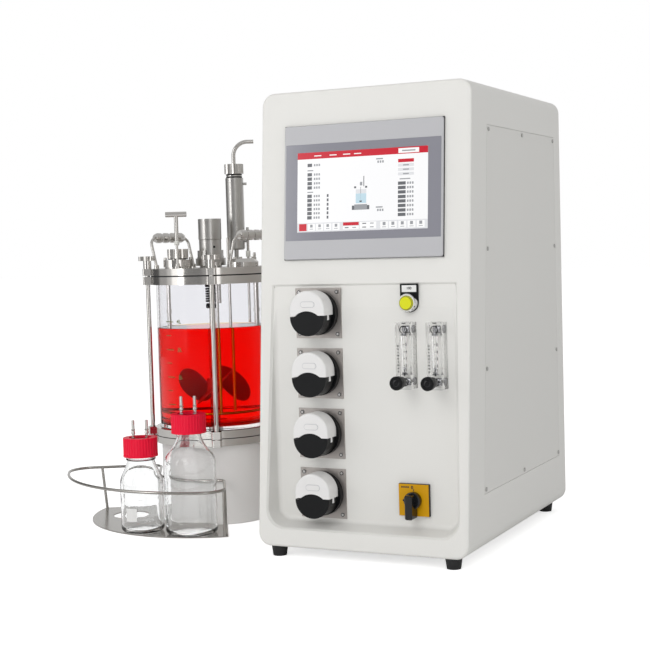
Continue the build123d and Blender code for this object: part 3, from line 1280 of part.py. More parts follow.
def make_cap_connector(place, cap_top):
    """Seal disc under the cap with two hose barbs."""
    rim = RACK_T + cap_top - CAP_TOP_T - INSERT_T - 0.3
    disc = cylinder(BOTTLE_NECK_R, rim, rim + INSERT_T, place)
    for side in (-1, 1):
        x = place[0] + side * BARB_SPACING / 2
        low = rim + INSERT_T
        profile = [(0, low), (3.6, low), (3.6, low + 4), (BARB_R, low + 5), (BARB_R, low + 10)]
        profile += [(BARB_R + 1.2, low + 11), (BARB_R, low + 16), (BARB_R + 1.2, low + 17)]
        profile += [(BARB_R, low + 19), (BARB_R, low + BARB_H), (0, low + BARB_H)]
        disc += turned(profile, (x, place[1]))
    return disc


def vessel_nodes():
    return {
        "vessel_base": [make_vessel_base()],
        "bottom_plate": [make_bottom_plate()],
        "bottom_ring": [make_bottom_ring()],
        "glass_vessel": [make_glass_vessel()],
        "gaskets": make_gaskets(),
        "upper_flange": [make_upper_flange()],
        "head_plate": [make_head_plate()],
        "tie_rods": make_tie_rods(),
        "clamp_nuts": make_clamp_nuts(),
        "lift_handles": make_lift_handle(HANDLE_ANGLE) + make_lift_handle(HANDLE_ANGLE + 180),
        "agitator_housing": [make_agitator_housing()],
        "agitator_cap": [make_agitator_cap()],
        "agitator_shaft": [make_agitator_shaft()],
        "impeller": [make_impeller()],
        "condenser": [make_condenser()],
        "condenser_cap": [make_condenser_cap()],
        "sampler_valve": [make_sampler_valve()],
        "sampler_handle": [make_sampler_handle()],
        "addition_port": [make_addition_port()],
        "port_cap": [make_port_cap()],
        "inlet_port": [make_inlet_port()],
        "sparger": [make_sparger()],
        "probes": make_probes(),
        "bottle_rack": [make_rack()],
        "bottles": [
            make_bottle(SMALL_PLACE, SMALL_R, SMALL_SHOULDER, SMALL_NECK_R, SMALL_CAP_TOP),
            make_bottle(LARGE_PLACE, LARGE_R, LARGE_SHOULDER, LARGE_NECK_R, LARGE_CAP_TOP),
        ],
        "bottle_cap_small": [make_bottle_cap(SMALL_PLACE, SMALL_CAP_TOP)],
        "bottle_cap_large": [make_bottle_cap(LARGE_PLACE, LARGE_CAP_TOP)],
        "cap_connectors": [
            make_cap_connector(SMALL_PLACE, SMALL_CAP_TOP),
            make_cap_connector(LARGE_PLACE, LARGE_CAP_TOP),
        ],
    }


# ================================================================ write every node
for name, solids in cabinet_nodes().items():
    place = Pos(CAB_PLACE[0], CAB_PLACE[1], 0)
    save(name, *[place * solid for solid in solids])
for name, solids in vessel_nodes().items():
    save(name, *[Rot(0, 0, VESSEL_TURN) * solid for solid in solids])
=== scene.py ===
"""Bench bioreactor: finishes, small fittings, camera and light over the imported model.

Metres, +Z up. Sizes below are in millimetres and are turned into metres where they are used.
"""

from math import atan2, cos, pi, radians, sin

import bpy
from mathutils import Matrix, Vector


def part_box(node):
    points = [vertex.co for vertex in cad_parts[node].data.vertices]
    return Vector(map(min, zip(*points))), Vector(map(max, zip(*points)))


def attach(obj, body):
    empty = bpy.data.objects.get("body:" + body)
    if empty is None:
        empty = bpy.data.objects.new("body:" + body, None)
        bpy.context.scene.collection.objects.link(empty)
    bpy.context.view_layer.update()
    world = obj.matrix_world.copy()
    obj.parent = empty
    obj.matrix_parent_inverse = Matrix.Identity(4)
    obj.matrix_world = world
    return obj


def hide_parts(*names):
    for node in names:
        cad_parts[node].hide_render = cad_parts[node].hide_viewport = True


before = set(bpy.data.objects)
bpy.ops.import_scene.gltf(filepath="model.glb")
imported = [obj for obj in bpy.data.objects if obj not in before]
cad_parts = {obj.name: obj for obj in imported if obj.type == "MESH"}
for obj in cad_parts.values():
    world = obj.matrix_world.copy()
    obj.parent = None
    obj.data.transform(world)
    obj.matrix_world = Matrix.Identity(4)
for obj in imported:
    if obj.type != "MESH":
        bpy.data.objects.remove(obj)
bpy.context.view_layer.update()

MM = 0.001
LEAN = atan2(61.0, 725.0)  # how far the cabinet's front falls back
TURN = radians(30.6)  # the vessel faces the operator by this much

# the cabinet's lower left front corner and the vessel's axis
shell_low, shell_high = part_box("cabinet_shell")
CABINET = Vector((shell_low.x, shell_high.y - 0.524, 0))
base_low, base_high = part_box("vessel_base")
AXIS = Vector(((base_low.x + base_high.x) / 2, (base_low.y + base_high.y) / 2, 0))


def on_cabinet(node):
    """Low and high corners of a node, in millimetres from the cabinet's corner."""
    low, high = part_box(node)
    return (low - CABINET) / MM, (high - CABINET) / MM


plates_low, plates_high = on_cabinet("pump_plates")
PUMP_X = (plates_low.x + plates_high.x) / 2
PUMP_PLATE = plates_high.x - plates_low.x
PUMP_PITCH = 95.8
PUMP_ZS = [plates_high.z - PUMP_PLATE / 2 - PUMP_PITCH * i for i in range(4)]
flow_low, flow_high = on_cabinet("flow_blocks")
FLOW_W = 24.3
FLOW_XS = (flow_low.x + FLOW_W / 2, flow_high.x - FLOW_W / 2)
FLOW_FACE = flow_low.y
BAY_FLOOR = 35.0  # the sunk bay's floor, back from the cabinet's front corner
BUTTON_X, BUTTON_Z = 259.4, 404.0
SWITCH_X, SWITCH_Z = 258.5, 99.0

# places round the vessel's axis, and heights above the bench
SMALL_BOTTLE, SMALL_OUT = (-134.5, -125.0), 38.05
LARGE_BOTTLE, LARGE_OUT = (-48.0, -166.0), 45.05
CONDENSER = (48.9, 36.0)
PORT = (-59.6, -22.6)
SAMPLER = (-59.6, -67.8)
GAS_PIPE = (70.4, 28.8)
HEAD_TOP = 461.7
GLASS_OUT = 102.3  # just outside the vessel's glass
CULTURE_R, CULTURE_LOW, CULTURE_TOP = 96.85, 175.8, 354.0


# ======== camera
CAMERA_PLACE = (1.30278, -2.20961, 0.49407)
CAMERA_TURN, CAMERA_DIP, CAMERA_ROLL = 25.882, 3.260, -1.661
CAMERA_LENS = 76.57


def aim_camera():
    camera = bpy.data.objects.new("camera", bpy.data.cameras.new("camera"))
    bpy.context.scene.collection.objects.link(camera)
    turn = Matrix.Rotation(radians(CAMERA_TURN), 4, "Z")
    turn = turn @ Matrix.Rotation(radians(90 - CAMERA_DIP), 4, "X")
    roll = Matrix.Rotation(radians(CAMERA_ROLL), 4, "Z")
    camera.matrix_world = Matrix.Translation(CAMERA_PLACE) @ turn @ roll
    camera.data.sensor_width = 36
    camera.data.lens = CAMERA_LENS
    camera.data.clip_end = 60
    bpy.context.scene.camera = camera


aim_camera()


# ======== places
def frame_of(origin, right, up):
    """Matrix of a flat work place: X to the right, Y up, Z outwards."""
    right, up = Vector(right), Vector(up)
    out = right.cross(up)
    matrix = Matrix((right, up, out)).transposed().to_4x4()
    matrix.translation = Vector(origin)
    return matrix


def bay_frame(x, y, z):
    """On an upright face of the cabinet, from its lower left front corner."""
    return frame_of(CABINET + Vector((x, y, z)) * MM, (1, 0, 0), (0, 0, 1))


def display_frame():
    """Middle of the display's outer glass face."""
    low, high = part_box("display_glass")
    out = Vector((0, -cos(LEAN), sin(LEAN)))
    middle = (low + high) / 2 + out * 0.6 * MM
    return frame_of(middle, (1, 0, 0), (0, sin(LEAN), cos(LEAN)))


def vessel_frame(x, y, z):
    """Upright place on the vessel, X to the right and Z up, from its axis."""
    turn = Matrix.Rotation(TURN, 4, "Z")
    return Matrix.Translation(AXIS) @ turn @ Matrix.Translation(Vector((x, y, z)) * MM)


def wall_frame(radius, angle, z, centre=(0, 0)):
    """On a round wall of the vessel's group; the angle runs to the right from the front."""
    turn = TURN + radians(angle)
    out = Vector((sin(turn), -cos(turn), 0))
    middle = vessel_frame(centre[0], centre[1], z).translation
    return frame_of(middle + out * radius * MM, (cos(turn), sin(turn), 0), (0, 0, 1))


# ======== modelling
def clear_selection():
    bpy.ops.object.select_all(action="DESELECT")


def only(piece):
    clear_selection()
    piece.select_set(True)
    bpy.context.view_layer.objects.active = piece


def settle(name):
    """Names the newest primitive and puts its place and turn into its mesh."""
    piece = bpy.context.object
    piece.name = name
    piece.data.name = name
    bpy.ops.object.transform_apply(location=True, rotation=True, scale=True)
    return piece


def edit(piece, kind="FACE"):
    only(piece)
    bpy.ops.object.mode_set(mode="EDIT")
    bpy.ops.mesh.select_mode(type=kind)


def done():
    bpy.ops.object.mode_set(mode="OBJECT")


def take_all():
    bpy.ops.mesh.select_all(action="SELECT")


def turn_outwards():
    """Closes the open piece with all its faces pointing outwards."""
    take_all()
    bpy.ops.mesh.normals_make_consistent(inside=False)
    done()


def pick_faces(piece, test):
    """Opens the piece with the faces selected whose middle and normal pass the test."""
    only(piece)
    mesh = piece.data
    for part in (mesh.vertices, mesh.edges):
        part.foreach_set("select", [False] * len(part))
    mesh.polygons.foreach_set("select", [bool(test(f.center, f.normal)) for f in mesh.polygons])
    edit(piece, "FACE")


def pick_edges(piece, test):
    """Opens the piece with the edges selected whose two ends pass the test."""
    only(piece)
    mesh = piece.data
    for part in (mesh.vertices, mesh.polygons):
        part.foreach_set("select", [False] * len(part))
    points = [v.co for v in mesh.vertices]
    chosen = [bool(test(points[e.vertices[0]], points[e.vertices[1]])) for e in mesh.edges]
    mesh.edges.foreach_set("select", chosen)
    edit(piece, "EDGE")


def smooth(piece, angle=35):
    only(piece)
    bpy.ops.object.shade_smooth_by_angle(angle=radians(angle))


def new_block(name, size, middle=(0, 0, 0), round_by=0.0, steps=2):
    """Block with all its edges rounded."""
    clear_selection()
    place = [v * MM for v in middle]
    scale = [v * MM for v in size]
    bpy.ops.mesh.primitive_cube_add(size=1, location=place, scale=scale)
    piece = settle(name)
    if round_by:
        edit(piece, "EDGE")
        take_all()
        bpy.ops.mesh.bevel(offset=round_by * MM, segments=steps, affect="EDGES", profile=0.5)
        done()
    return piece


def new_turned(name, profile, sides=32):
    """Round piece drawn up ring by ring about its own Z axis, from (radius, height) points."""
    clear_selection()
    radius, low = profile[0]
    bpy.ops.mesh.primitive_circle_add(
        vertices=sides, radius=radius * MM, fill_type="NGON", location=(0, 0, low * MM)
    )
    piece = settle(name)
    edit(piece, "FACE")
    take_all()
    for new_radius, height in profile[1:]:
        rise = (height - low) * MM
        bpy.ops.mesh.extrude_region_move(TRANSFORM_OT_translate={"value": (0, 0, rise)})
        ratio = new_radius / radius
        if abs(ratio - 1) > 1e-6:
            bpy.ops.transform.resize(value=(ratio, ratio, 1), center_override=(0, 0, height * MM))
        radius, low = new_radius, height
    turn_outwards()
    smooth(piece)
    return piece


def new_ring(name, radius, wire, sides=48, wire_sides=12, flat=0.92):
    """Round ring, pressed flat against its seat."""
    clear_selection()
    bpy.ops.mesh.primitive_torus_add(
        major_radius=radius * MM,
        minor_radius=wire * MM,
        major_segments=sides,
        minor_segments=wire_sides,
    )
    piece = settle(name)
    edit(piece, "VERT")
    take_all()
    bpy.ops.transform.resize(value=(1, 1, flat), center_override=(0, 0, 0))
    done()
    smooth(piece, 60)
    return piece


def new_coil(name, radius, wire, low, high, turns, sides=10):
    """Round wire wound about the Z axis, its end turns closed flat."""
    clear_selection()
    pitch = (high - low) / turns
    bpy.ops.mesh.primitive_circle_add(
        vertices=sides, radius=wire * MM, fill_type="NOTHING", rotation=(pi / 2, 0, 0),
        location=(radius * MM, 0, low * MM),
    )
    piece = settle(name)
    wind = piece.modifiers.new("wind", "SCREW")
    wind.axis = "Z"
    wind.steps = 28
    wind.render_steps = 28
    wind.iterations = turns
    wind.screw_offset = pitch * MM
    wind.use_smooth_shade = True
    only(piece)
    bpy.ops.object.modifier_apply(modifier="wind")
    edit(piece, "EDGE")
    bpy.ops.mesh.select_all(action="DESELECT")
    bpy.ops.mesh.select_non_manifold()
    bpy.ops.mesh.edge_face_add()
    turn_outwards()
    smooth(piece, 60)
    return piece


def new_band(name, radius, angle, tall, thick=0.15, steps=14):
    """Thin upright sheet bent round the Z axis, its middle towards the front, with rounded corners."""
    clear_selection()
    bpy.ops.mesh.primitive_plane_add(size=1, rotation=(pi / 2, 0, 0))
    piece = settle(name)
    edit(piece, "FACE")
    take_all()
    bpy.ops.transform.resize(value=(thick * MM, 1, tall * MM))
    bpy.ops.transform.translate(value=((radius + thick / 2) * MM, 0, 0))
    half = radians(angle / 2)
    bpy.ops.transform.rotate(value=pi / 2 + half, orient_axis="Z", center_override=(0, 0, 0))
    bpy.ops.mesh.spin(steps=steps, angle=-2 * half, center=(0, 0, 0), axis=(0, 0, 1))
    take_all()
    bpy.ops.mesh.remove_doubles(threshold=1e-7)
    turn_outwards()
    smooth(piece, 50)
    return piece


def new_words(name, words, size, depth=0.04, middle=(0, 0), bold=0.0):
    """Raised print: text made a thin mesh, lying in the XY plane."""
    clear_selection()
    bpy.ops.object.text_add(location=(0, 0, 0))
    text = bpy.context.object
    text.data.body = words
    text.data.size = size * MM
    text.data.align_x = "CENTER"
    text.data.align_y = "CENTER"
    text.data.extrude = depth * MM
    text.data.resolution_u = 3
    text.data.offset = bold * MM
    bpy.ops.object.convert(target="MESH")
    piece = bpy.context.object
    piece.name = name
    piece.data.name = name
    piece.data.transform(Matrix.Translation((middle[0] * MM, middle[1] * MM, 0)))
    return piece


def put(piece, matrix):
    """Moves a finished mesh from its work place to the object."""
    piece.data.transform(matrix)
    return piece


def copies(piece, name, matrices):
    """The piece at each place, every copy with its own mesh, joined into one."""
    made = []
    for matrix in matrices:
        twin = piece.copy()
        twin.data = piece.data.copy()
        twin.data.transform(matrix)
        bpy.context.scene.collection.objects.link(twin)
        made.append(twin)
    bpy.data.objects.remove(piece)
    return joined(name, made)


def joined(name, parts):
    clear_selection()
    for part in parts:
        part.select_set(True)
    bpy.context.view_layer.objects.active = parts[0]
    if len(parts) > 1:
        bpy.ops.object.join()
    parts[0].name = name
    parts[0].data.name = name
    return parts[0]


def finished(piece, material, body="unit"):
    """Gives a piece its finish and the body that it rides on."""
    piece.data.materials.clear()
    piece.data.materials.append(material)
    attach(piece, body)
    return piece


# ======== finishes
def shade(red, green, blue):
    """Screen colour, 0 to 255, as the linear colour that the shader takes."""
    def straight(value):
        value = value / 255
        return value / 12.92 if value <= 0.04045 else ((value + 0.055) / 1.055) ** 2.4
    return (straight(red), straight(green), straight(blue), 1.0)


def new_group(name, inputs, outputs):
    tree = bpy.data.node_groups.new(name, "ShaderNodeTree")
    kinds = {"colour": "NodeSocketColor", "value": "NodeSocketFloat", "vector": "NodeSocketVector"}
    for label, kind, value in inputs:
        socket = tree.interface.new_socket(name=label, in_out="INPUT", socket_type=kinds[kind])
        socket.default_value = value
    for label, kind in outputs:
        tree.interface.new_socket(name=label, in_out="OUTPUT", socket_type=kinds[kind])
    return tree, tree.nodes.new("NodeGroupInput"), tree.nodes.new("NodeGroupOutput")


def add(tree, kind, **settings):
    made = tree.nodes.new(kind)
    for key, value in settings.items():
        setattr(made, key, value)
    return made


def fill(node, values):
    """Sets the numbers and colours of a node's inputs."""
    for label, value in values.items():
        node.inputs[label].default_value = value


def own_place(tree):
    """The point's place on its own piece."""
    return add(tree, "ShaderNodeTexCoord").outputs["Object"]


def calc(tree, operation, first, second=None, third=None):
    """Math node on sockets or numbers; gives its result."""
    made = add(tree, "ShaderNodeMath", operation=operation)
    for i, value in enumerate((first, second, third)):
        if value is None:
            continue
        if isinstance(value, (int, float)):
            made.inputs[i].default_value = value
        else:
            tree.links.new(value, made.inputs[i])
    return made.outputs[0]


def vector_calc(tree, operation, first, second=None, scale=None):
    made = add(tree, "ShaderNodeVectorMath", operation=operation)
    tree.links.new(first, made.inputs[0])
    if second is not None:
        if isinstance(second, tuple):
            made.inputs[1].default_value = second
        else:
            tree.links.new(second, made.inputs[1])
    if scale is not None:
        tree.links.new(scale, made.inputs["Scale"])
    return made.outputs["Value"] if operation in ("LENGTH", "DOT_PRODUCT") else made.outputs[0]


def noise(tree, vector, scale, detail=2.0, rough=0.5):
    made = add(tree, "ShaderNodeTexNoise")
    tree.links.new(vector, made.inputs["Vector"])
    if isinstance(scale, (int, float)):
        made.inputs["Scale"].default_value = scale
    else:
        tree.links.new(scale, made.inputs["Scale"])
    fill(made, {"Detail": detail, "Roughness": rough})
    return made.outputs[0]


COMMON_IN = [
    ("Colour", "colour", (0.8, 0.8, 0.8, 1)),
    ("Spread", "value", 0.05),
    ("Shine", "value", 0.4),
    ("Unevenness", "value", 0.1),
]
COMMON_OUT = [("Colour", "colour"), ("Roughness", "value"), ("Height", "value")]


def finish_group(tree, start, end, fine, broad):
    """Shared ending: colour and roughness change with the broad pattern and the fine one."""
    both = calc(tree, "ADD", calc(tree, "MULTIPLY", fine, 0.45), calc(tree, "MULTIPLY", broad, 0.55))
    centred = calc(tree, "SUBTRACT", both, 0.5)
    level = calc(tree, "MULTIPLY_ADD", centred, start.outputs["Spread"], 1.0)
    colour = vector_calc(tree, "SCALE", start.outputs["Colour"], scale=level)
    rough = calc(tree, "MULTIPLY_ADD", centred, start.outputs["Unevenness"], start.outputs["Shine"])
    tree.links.new(colour, end.inputs["Colour"])
    tree.links.new(rough, end.inputs["Roughness"])
    tree.links.new(fine, end.inputs["Height"])


def make_coat_grain():
    """Even grain of powder coat, moulded plastic and rubber."""
    extra = [("Grain", "value", 900.0)]
    tree, start, end = new_group("coat_grain", COMMON_IN + extra, COMMON_OUT)
    place = own_place(tree)
    fine = noise(tree, place, start.outputs["Grain"], 3.0, 0.6)
    broad = noise(tree, place, 9.0, 4.0, 0.55)
    finish_group(tree, start, end, fine, broad)
    return tree


def make_drawn_lines():
    """Straight brush lines of rolled and brushed sheet."""
    extra = [("Run", "vector", (20.0, 20.0, 2500.0))]
    tree, start, end = new_group("drawn_lines", COMMON_IN + extra, COMMON_OUT)
    place = own_place(tree)
    along = vector_calc(tree, "MULTIPLY", place, start.outputs["Run"])
    fine = noise(tree, along, 1.0, 2.0, 0.6)
    broad = noise(tree, place, 14.0, 3.0, 0.5)
    finish_group(tree, start, end, fine, broad)
    return tree


def make_turned_lines():
    """Fine lathe lines round an upright axis."""
    extra = [("Centre", "vector", (0.0, 0.0, 0.0)), ("Pitch", "value", 2600.0)]
    tree, start, end = new_group("turned_lines", COMMON_IN + extra, COMMON_OUT)
    place = own_place(tree)
    offset = vector_calc(tree, "SUBTRACT", place, start.outputs["Centre"])
    flat = vector_calc(tree, "MULTIPLY", offset, (1.0, 1.0, 0.0))
    radius = vector_calc(tree, "LENGTH", flat)
    split = add(tree, "ShaderNodeSeparateXYZ")
    tree.links.new(offset, split.inputs[0])
    put_together = add(tree, "ShaderNodeCombineXYZ")
    tree.links.new(calc(tree, "MULTIPLY", radius, start.outputs["Pitch"]), put_together.inputs[0])
    tree.links.new(calc(tree, "MULTIPLY", split.outputs[0], 25.0), put_together.inputs[1])
    tree.links.new(calc(tree, "MULTIPLY", split.outputs[2], start.outputs["Pitch"]), put_together.inputs[2])
    fine = noise(tree, put_together.outputs[0], 1.0, 2.0, 0.6)
    broad = noise(tree, place, 16.0, 3.0, 0.5)
    finish_group(tree, start, end, fine, broad)
    return tree


def make_hand_marks():
    """Faint smears and dust on clear pieces: a mask that is mostly empty."""
    inputs = [("Size", "value", 22.0), ("Amount", "value", 0.5)]
    tree, start, end = new_group("hand_marks", inputs, [("Mask", "value")])
    place = own_place(tree)
    cloud = noise(tree, place, start.outputs["Size"], 5.0, 0.6)
    band = calc(tree, "MULTIPLY", calc(tree, "SUBTRACT", cloud, 0.52), 4.0)
    band = calc(tree, "MAXIMUM", band, 0.0)
    band = calc(tree, "MINIMUM", band, 1.0)
    tree.links.new(calc(tree, "MULTIPLY", band, start.outputs["Amount"]), end.inputs["Mask"])
    return tree


def make_fine_scratches():
    """Sparse short scratches and scuffs, as a mask."""
    inputs = [("Size", "value", 60.0), ("Amount", "value", 0.4)]
    tree, start, end = new_group("fine_scratches", inputs, [("Mask", "value")])
    place = own_place(tree)
    leaning = add(tree, "ShaderNodeMapping")
    fill(leaning, {"Rotation": (0.5, 0.3, 0.7), "Scale": (1.0, 14.0, 1.0)})
    tree.links.new(place, leaning.inputs[0])
    lines = noise(tree, leaning.outputs[0], start.outputs["Size"], 3.0, 0.7)
    sharp = calc(tree, "MULTIPLY", calc(tree, "SUBTRACT", lines, 0.66), 9.0)
    sharp = calc(tree, "MINIMUM", calc(tree, "MAXIMUM", sharp, 0.0), 1.0)
    tree.links.new(calc(tree, "MULTIPLY", sharp, start.outputs["Amount"]), end.inputs["Mask"])
    return tree


COAT_GRAIN = make_coat_grain()
DRAWN_LINES = make_drawn_lines()
TURNED_LINES = make_turned_lines()
HAND_MARKS = make_hand_marks()
FINE_SCRATCHES = make_fine_scratches()


def new_material(name):
    material = bpy.data.materials.new(name)
    material.use_nodes = True
    tree = material.node_tree
    shader = tree.nodes["Principled BSDF"]
    return material, tree, shader


def place_group(tree, group, **values):
    made = add(tree, "ShaderNodeGroup", node_tree=group)
    fill(made, values)
    return made


def surface(
    name, colour, shine, group=COAT_GRAIN, spread=0.04, uneven=0.12, depth=0.00002,
    metal=0.0, coat=0.0, coat_rough=0.1, specular=0.5, scuffs=0.0, **more
):
    """Opaque finish: a pattern group drives colour, roughness and relief."""
    material, tree, shader = new_material(name)
    pattern = place_group(tree, group, Colour=colour, Spread=spread, Shine=shine, Unevenness=uneven, **more)
    tree.links.new(pattern.outputs["Colour"], shader.inputs["Base Color"])
    rough = pattern.outputs["Roughness"]
    if scuffs:
        marks = place_group(tree, FINE_SCRATCHES, Amount=scuffs)
        rough = calc(tree, "ADD", rough, marks.outputs["Mask"])
    tree.links.new(rough, shader.inputs["Roughness"])
    relief = add(tree, "ShaderNodeBump")
    fill(relief, {"Strength": 1.0, "Distance": depth})
    tree.links.new(pattern.outputs["Height"], relief.inputs["Height"])
    tree.links.new(relief.outputs[0], shader.inputs["Normal"])
    fill(shader, {
        "Metallic": metal, "Coat Weight": coat, "Coat Roughness": coat_rough,
        "Specular IOR Level": specular,
    })
    return material


def clear(name, colour, ior, shine=0.0, marks=0.04, size=22.0, ripple=0.0, glint=1.0, shade_colour=None):
    """Clear finish with faint smears in its gloss; lamps shine through it."""
    material, tree, shader = new_material(name)
    fill(shader, {
        "Base Color": colour, "Transmission Weight": 1.0, "IOR": ior,
        "Specular Tint": (glint, glint, glint, 1),
    })
    path = add(tree, "ShaderNodeLightPath")
    lets_through = calc(tree, "MAXIMUM", path.outputs["Is Shadow Ray"], path.outputs["Is Diffuse Ray"])
    open_side = add(tree, "ShaderNodeBsdfTransparent")
    open_side.inputs["Color"].default_value = shade_colour or colour
    mix = add(tree, "ShaderNodeMixShader")
    tree.links.new(lets_through, mix.inputs[0])
    tree.links.new(shader.outputs[0], mix.inputs[1])
    tree.links.new(open_side.outputs[0], mix.inputs[2])
    tree.links.new(mix.outputs[0], tree.nodes["Material Output"].inputs["Surface"])
    smears = place_group(tree, HAND_MARKS, Size=size, Amount=marks)
    tree.links.new(calc(tree, "ADD", smears.outputs["Mask"], shine), shader.inputs["Roughness"])
    if ripple:
        place = own_place(tree)
        waves = noise(tree, place, 35.0, 2.0, 0.5)
        relief = add(tree, "ShaderNodeBump")
        relief.inputs["Distance"].default_value = ripple
        tree.links.new(waves, relief.inputs["Height"])
        tree.links.new(relief.outputs[0], shader.inputs["Normal"])
    return material


def lit(name, colour, strength, spread=0.03):
    """Lit area of the display: even light with faint random unevenness."""
    material, tree, shader = new_material(name)
    pattern = place_group(
        tree, COAT_GRAIN, Colour=colour, Spread=spread, Shine=0.22, Unevenness=0.05, Grain=2500.0
    )
    tree.links.new(pattern.outputs["Colour"], shader.inputs["Emission Color"])
    tree.links.new(pattern.outputs["Roughness"], shader.inputs["Roughness"])
    dark = tuple(v * 0.08 for v in colour[:3]) + (1.0,)
    fill(shader, {"Base Color": dark, "Emission Strength": strength})
    return material


powder_coat = surface(
    "warm_white_powder_coat", shade(226, 225, 221), 0.42, spread=0.03, Grain=1400.0, depth=0.00003,
)
# same coat as the front, a touch darker: painted shade on the side and rear panels
side_coat_painted_shade = surface(
    "side_panel_coat_painted_shade", shade(222, 221, 217), 0.45, spread=0.035, Grain=1400.0, depth=0.00003,
)
grey_enamel = surface(
    "grey_enamel", shade(240, 239, 237), 0.34, spread=0.05, Grain=1100.0, depth=0.00002, coat=0.15,
)
bezel_grey = surface(
    "display_frame_grey", shade(184, 184, 187), 0.36, spread=0.03, Grain=2200.0, depth=0.00001,
)
panel_glass = surface(
    "display_cover_glass", shade(140, 140, 149), 0.12, spread=0.05, uneven=0.05, depth=0.0,
    coat=0.6, coat_rough=0.03,
)
black_plastic = surface(
    "black_moulded_plastic", shade(12, 13, 15), 0.4, spread=0.25, Grain=1600.0, depth=0.00003,
    scuffs=0.1, specular=0.22,
)
gloss_black = surface(
    "gloss_black_plastic", shade(16, 17, 20), 0.14, spread=0.2, Grain=1600.0, depth=0.00001,
)
# black rubber; also the painted shade in the grease hole and along the display's frame
black_rubber_and_painted_shade = surface("black_rubber_and_painted_shade", shade(24, 24, 25), 0.62, spread=0.3, Grain=1300.0, depth=0.00004)
white_plastic = surface(
    "white_cover_plastic", shade(228, 227, 226), 0.3, spread=0.03, Grain=1500.0, depth=0.00001,
    coat=0.2,
)
cap_red = surface(
    "crimson_cap_plastic", shade(240, 2, 54), 0.4, spread=0.1, Grain=1200.0, depth=0.00002,
    specular=0.25,
)
ochre_plate = surface(
    "ochre_switch_plate", shade(204, 150, 0), 0.36, spread=0.08, Grain=1500.0, depth=0.00001,
    specular=0.2,
)
lime_lens = surface(
    "lime_button_lens", shade(220, 222, 0), 0.25, spread=0.1, Grain=500.0, depth=0.0, coat=0.2,
)
lime_rim = surface("lime_lens_rim", shade(150, 146, 0), 0.3, spread=0.08, Grain=900.0)
# slightly darker than the covers' white: painted shade of the raised ovals' edges
cover_shade_grey = surface("cover_mark_edge", shade(196, 196, 199), 0.35, spread=0.04, Grain=1500.0)
# black print; also the painted shade rings round the pump plates' screws
black_print_and_shade = surface("black_print_and_painted_shade", shade(28, 28, 32), 0.5, spread=0.2, Grain=2600.0)
print_olive = surface("olive_print", shade(92, 104, 44), 0.5, spread=0.2, Grain=2600.0)
print_white = surface("white_print", shade(236, 236, 234), 0.4, spread=0.05, Grain=2600.0)
label_white = surface("blank_white_label", shade(232, 232, 230), 0.55, spread=0.04, Grain=3000.0)
steel = surface(
    "turned_stainless_steel", shade(212, 209, 205), 0.13, TURNED_LINES, spread=0.1, uneven=0.12,
    depth=0.000006, metal=1.0, scuffs=0.08, Centre=tuple(AXIS),
)
bright_steel = surface(
    "polished_stainless_steel", shade(214, 211, 207), 0.11, spread=0.05, uneven=0.08,
    depth=0.000002, metal=1.0, scuffs=0.06, Grain=700.0,
)
satin_steel = surface(
    "satin_stainless_steel", shade(196, 194, 191), 0.3, DRAWN_LINES, spread=0.1, uneven=0.14,
    depth=0.000006, metal=1.0, Run=(30.0, 30.0, 2400.0),
)
brushed_plate = surface(
    "brushed_mounting_plate", shade(172, 166, 162), 0.38, DRAWN_LINES, spread=0.16, uneven=0.18,
    depth=0.000008, metal=0.85, Run=(2200.0, 30.0, 30.0),
)
plated_screw = surface("plated_screw", shade(188, 187, 185), 0.28, spread=0.12, metal=1.0, Grain=1800.0)
chrome = surface(
    "button_chrome", shade(226, 226, 226), 0.08, spread=0.04, metal=1.0, Grain=900.0,
    depth=0.000001,
)
# stainless blades, coloured warm tan and mostly not metallic: painted reflection of the red culture round
# them
impeller_steel_and_painted_reflection = surface(
    "impeller_steel_and_painted_reflection", shade(214, 186, 168), 0.36, spread=0.08, metal=0.15, Grain=800.0,
)
silicone = surface("milky_silicone", shade(222, 222, 216), 0.45, spread=0.05, Grain=900.0, coat=0.2)
motor_black = surface("motor_black", shade(40, 40, 42), 0.45, spread=0.2, Grain=900.0)
board_green = surface("circuit_board_green", shade(28, 92, 58), 0.4, spread=0.2, Grain=1400.0)
inlet_black = surface("inlet_black", shade(22, 22, 24), 0.4, spread=0.2, Grain=1500.0)
brass_plated = surface(
    "nickel_fitting", shade(196, 190, 176), 0.22, spread=0.08, metal=1.0, Grain=900.0,
)
rack_steel = surface(
    "drawn_wire_steel", shade(176, 173, 168), 0.2, spread=0.12, metal=1.0, Grain=900.0,
    depth=0.000004, scuffs=0.08,
)
float_steel = surface("float_steel", shade(150, 150, 152), 0.2, spread=0.1, metal=1.0, Grain=900.0)

vessel_glass = clear("borosilicate_glass", (0.865, 0.865, 0.885, 1), 1.47, marks=0.02, glint=0.1)
bottle_glass = clear(
    "bottle_glass", (0.94, 0.945, 0.945, 1), 1.49, marks=0.04, ripple=0.0006,
    shade_colour=(0.985, 0.985, 0.985, 1),
)
acrylic = clear("clear_acrylic", (0.99, 0.99, 0.99, 1), 1.49, shine=0.05, marks=0.08)
culture = clear(
    "red_culture", (0.98, 0.9, 0.88, 1), 1.34, shine=0.01, marks=0.02, glint=0.1,
    shade_colour=(0.8, 0.1, 0.08, 1),
)


def dye(material, colour, density):
    """Even absorption inside a clear piece."""
    tree = material.node_tree
    inside = add(tree, "ShaderNodeVolumeAbsorption")
    fill(inside, {"Color": colour, "Density": density})
    tree.links.new(inside.outputs[0], tree.nodes["Material Output"].inputs["Volume"])


dye(culture, (1.0, 0.84, 0.0, 1), 250.0)

